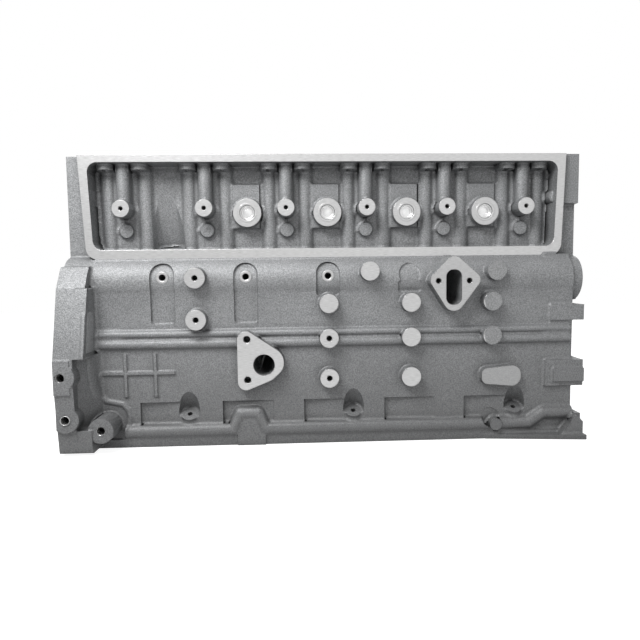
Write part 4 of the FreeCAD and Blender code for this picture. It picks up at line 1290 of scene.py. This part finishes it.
# ---------------------------------------------------------------- studio
@dataclass
class Studio:
    """Pale floor, soft lamps and white surroundings.

    Each row of `lamps` is a name, a place in metres, a side in metres and a power in watts.
    """

    floor_size: float = 6.0
    floor_tone: float = 0.6
    floor_glow: float = 0.9
    dim_light: float = 0.3
    aim: tuple = (0.0, 0.0, 0.1)
    lamps: tuple = (
        ("key_lamp", (-0.5, -0.75, 1.0), 0.6, 19.0),
        ("fill_lamp", (0.6, -2.2, 0.9), 1.8, 4.0),
        ("back_lamp", (0.5, 1.5, 1.3), 1.4, 22.0),
    )

    def build(self, floor_height: float) -> None:
        """Make the floor, the lamps and the world.

        Args:
            floor_height: the floor's height in metres.
        """
        half = self.floor_size / 2
        corners = np.array([(-half, -half, 0), (half, -half, 0), (half, half, 0), (-half, half, 0)])
        mesh = mesh_of("studio_floor", corners + (0, 0, floor_height), np.array([(0, 1, 2, 3)]))
        mesh.materials.append(self.floor_material())
        in_scene("studio_floor", mesh)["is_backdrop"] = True
        for lamp in self.lamps:
            self.lamp(*lamp)
        self.world()

    def floor_material(self) -> bpy.types.Material:
        """Return the floor's material, which the camera sees as near white."""
        g = Graph("pale_floor")
        g.shader.inputs["Base Color"].default_value = grey(self.floor_tone)
        g.shader.inputs["Roughness"].default_value = 0.9
        path = g.add("ShaderNodeLightPath")
        seen = g.math("MAXIMUM", path.outputs["Is Camera Ray"], path.outputs["Is Glossy Ray"])
        glow = g.math("MULTIPLY", seen, self.floor_glow)
        g.shader.inputs["Emission Color"].default_value = (1.0, 1.0, 1.0, 1.0)
        g.feed(g.shader.inputs["Emission Strength"], glow)
        return g.material

    def lamp(self, name: str, place: tuple, size: float, power: float) -> None:
        """Hang a square lamp that points at the middle of the block.

        Args:
            name: the lamp's name.
            place: where it hangs, in metres.
            size: the length of its side in metres.
            power: its power in watts.
        """
        data = bpy.data.lights.new(name, "AREA")
        data.size = size
        data.energy = power
        item = in_scene(name, data)
        item.location = place
        ahead = Vector(self.aim) - Vector(place)
        item.rotation_euler = ahead.to_track_quat("-Z", "Y").to_euler()

    def world(self) -> None:
        """Surround the scene with white for the camera and reflections, and dimmer light."""
        world = bpy.data.worlds.new("studio_world")
        world.use_nodes = True
        tree = world.node_tree
        back = next(n for n in tree.nodes if n.type == "BACKGROUND")
        path = tree.nodes.new("ShaderNodeLightPath")
        seen = tree.nodes.new("ShaderNodeMath")
        seen.operation = "MAXIMUM"
        tree.links.new(path.outputs["Is Camera Ray"], seen.inputs[0])
        tree.links.new(path.outputs["Is Glossy Ray"], seen.inputs[1])
        level = tree.nodes.new("ShaderNodeMapRange")
        tree.links.new(seen.outputs["Value"], level.inputs["Value"])
        level.inputs["To Min"].default_value = self.dim_light
        level.inputs["To Max"].default_value = 1.0
        back.inputs["Color"].default_value = (1.0, 1.0, 1.0, 1.0)
        tree.links.new(level.outputs["Result"], back.inputs["Strength"])
        bpy.context.scene.world = world


@dataclass
class Viewpoint:
    """Camera in front of the cam side, a little towards the front end.

    Its place is in millimetres, its angles are in degrees, and its lens is for a 36 mm sensor.
    """

    place: tuple = (-50.4, -968.0, 148.9)
    yaw: float = 2.6
    pitch: float = -4.7
    roll: float = -0.7
    lens: float = 32.06

    def build(self) -> None:
        """Make the camera and set it as the scene's own."""
        data = bpy.data.cameras.new("front_camera")
        data.lens = self.lens
        data.sensor_width = 36.0
        data.clip_start = 0.01
        item = in_scene("front_camera", data)
        yaw, pitch = math.radians(self.yaw), math.radians(self.pitch)
        level = math.cos(pitch)
        ahead = Vector((math.sin(yaw) * level, math.cos(yaw) * level, math.sin(pitch)))
        turn = ahead.to_track_quat("-Z", "Y") @ Quaternion((0, 0, 1), math.radians(self.roll))
        item.location = Vector(self.place) * MM
        item.rotation_mode = "QUATERNION"
        item.rotation_quaternion = turn
        bpy.context.scene.camera = item


def main() -> None:
    """Build the pieces in order and report each one."""
    logging.basicConfig(level=logging.INFO, format="%(name)s %(message)s")
    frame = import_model()
    packed_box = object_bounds()
    casting_finish = CastingFinish().material()
    block = Casting().build(frame["nodes"]["cylinder_block"], casting_finish)
    report(block)
    for fillets in (cam_side_fillets(), SideFillets(Side.EXHAUST, "exhaust_side_fillets")):
        report(fillets.build(block, casting_finish))
    Caps().build(frame["nodes"], casting_finish)
    finishes = Fittings().dress(frame["nodes"], frame["record"])
    CupPlugs().build(finishes[Slot.PLUG])
    report(SpotFaces().build(casting_finish))
    report(Threads().build(frame["record"], casting_finish))
    report(CapBolts().build(finishes[Slot.BOLT]))
    Studio().build(floor_height=packed_box[0][2])
    Viewpoint().build()
    bpy.context.scene.view_settings.view_transform = "Standard"


if __name__ == "__main__":
    main()
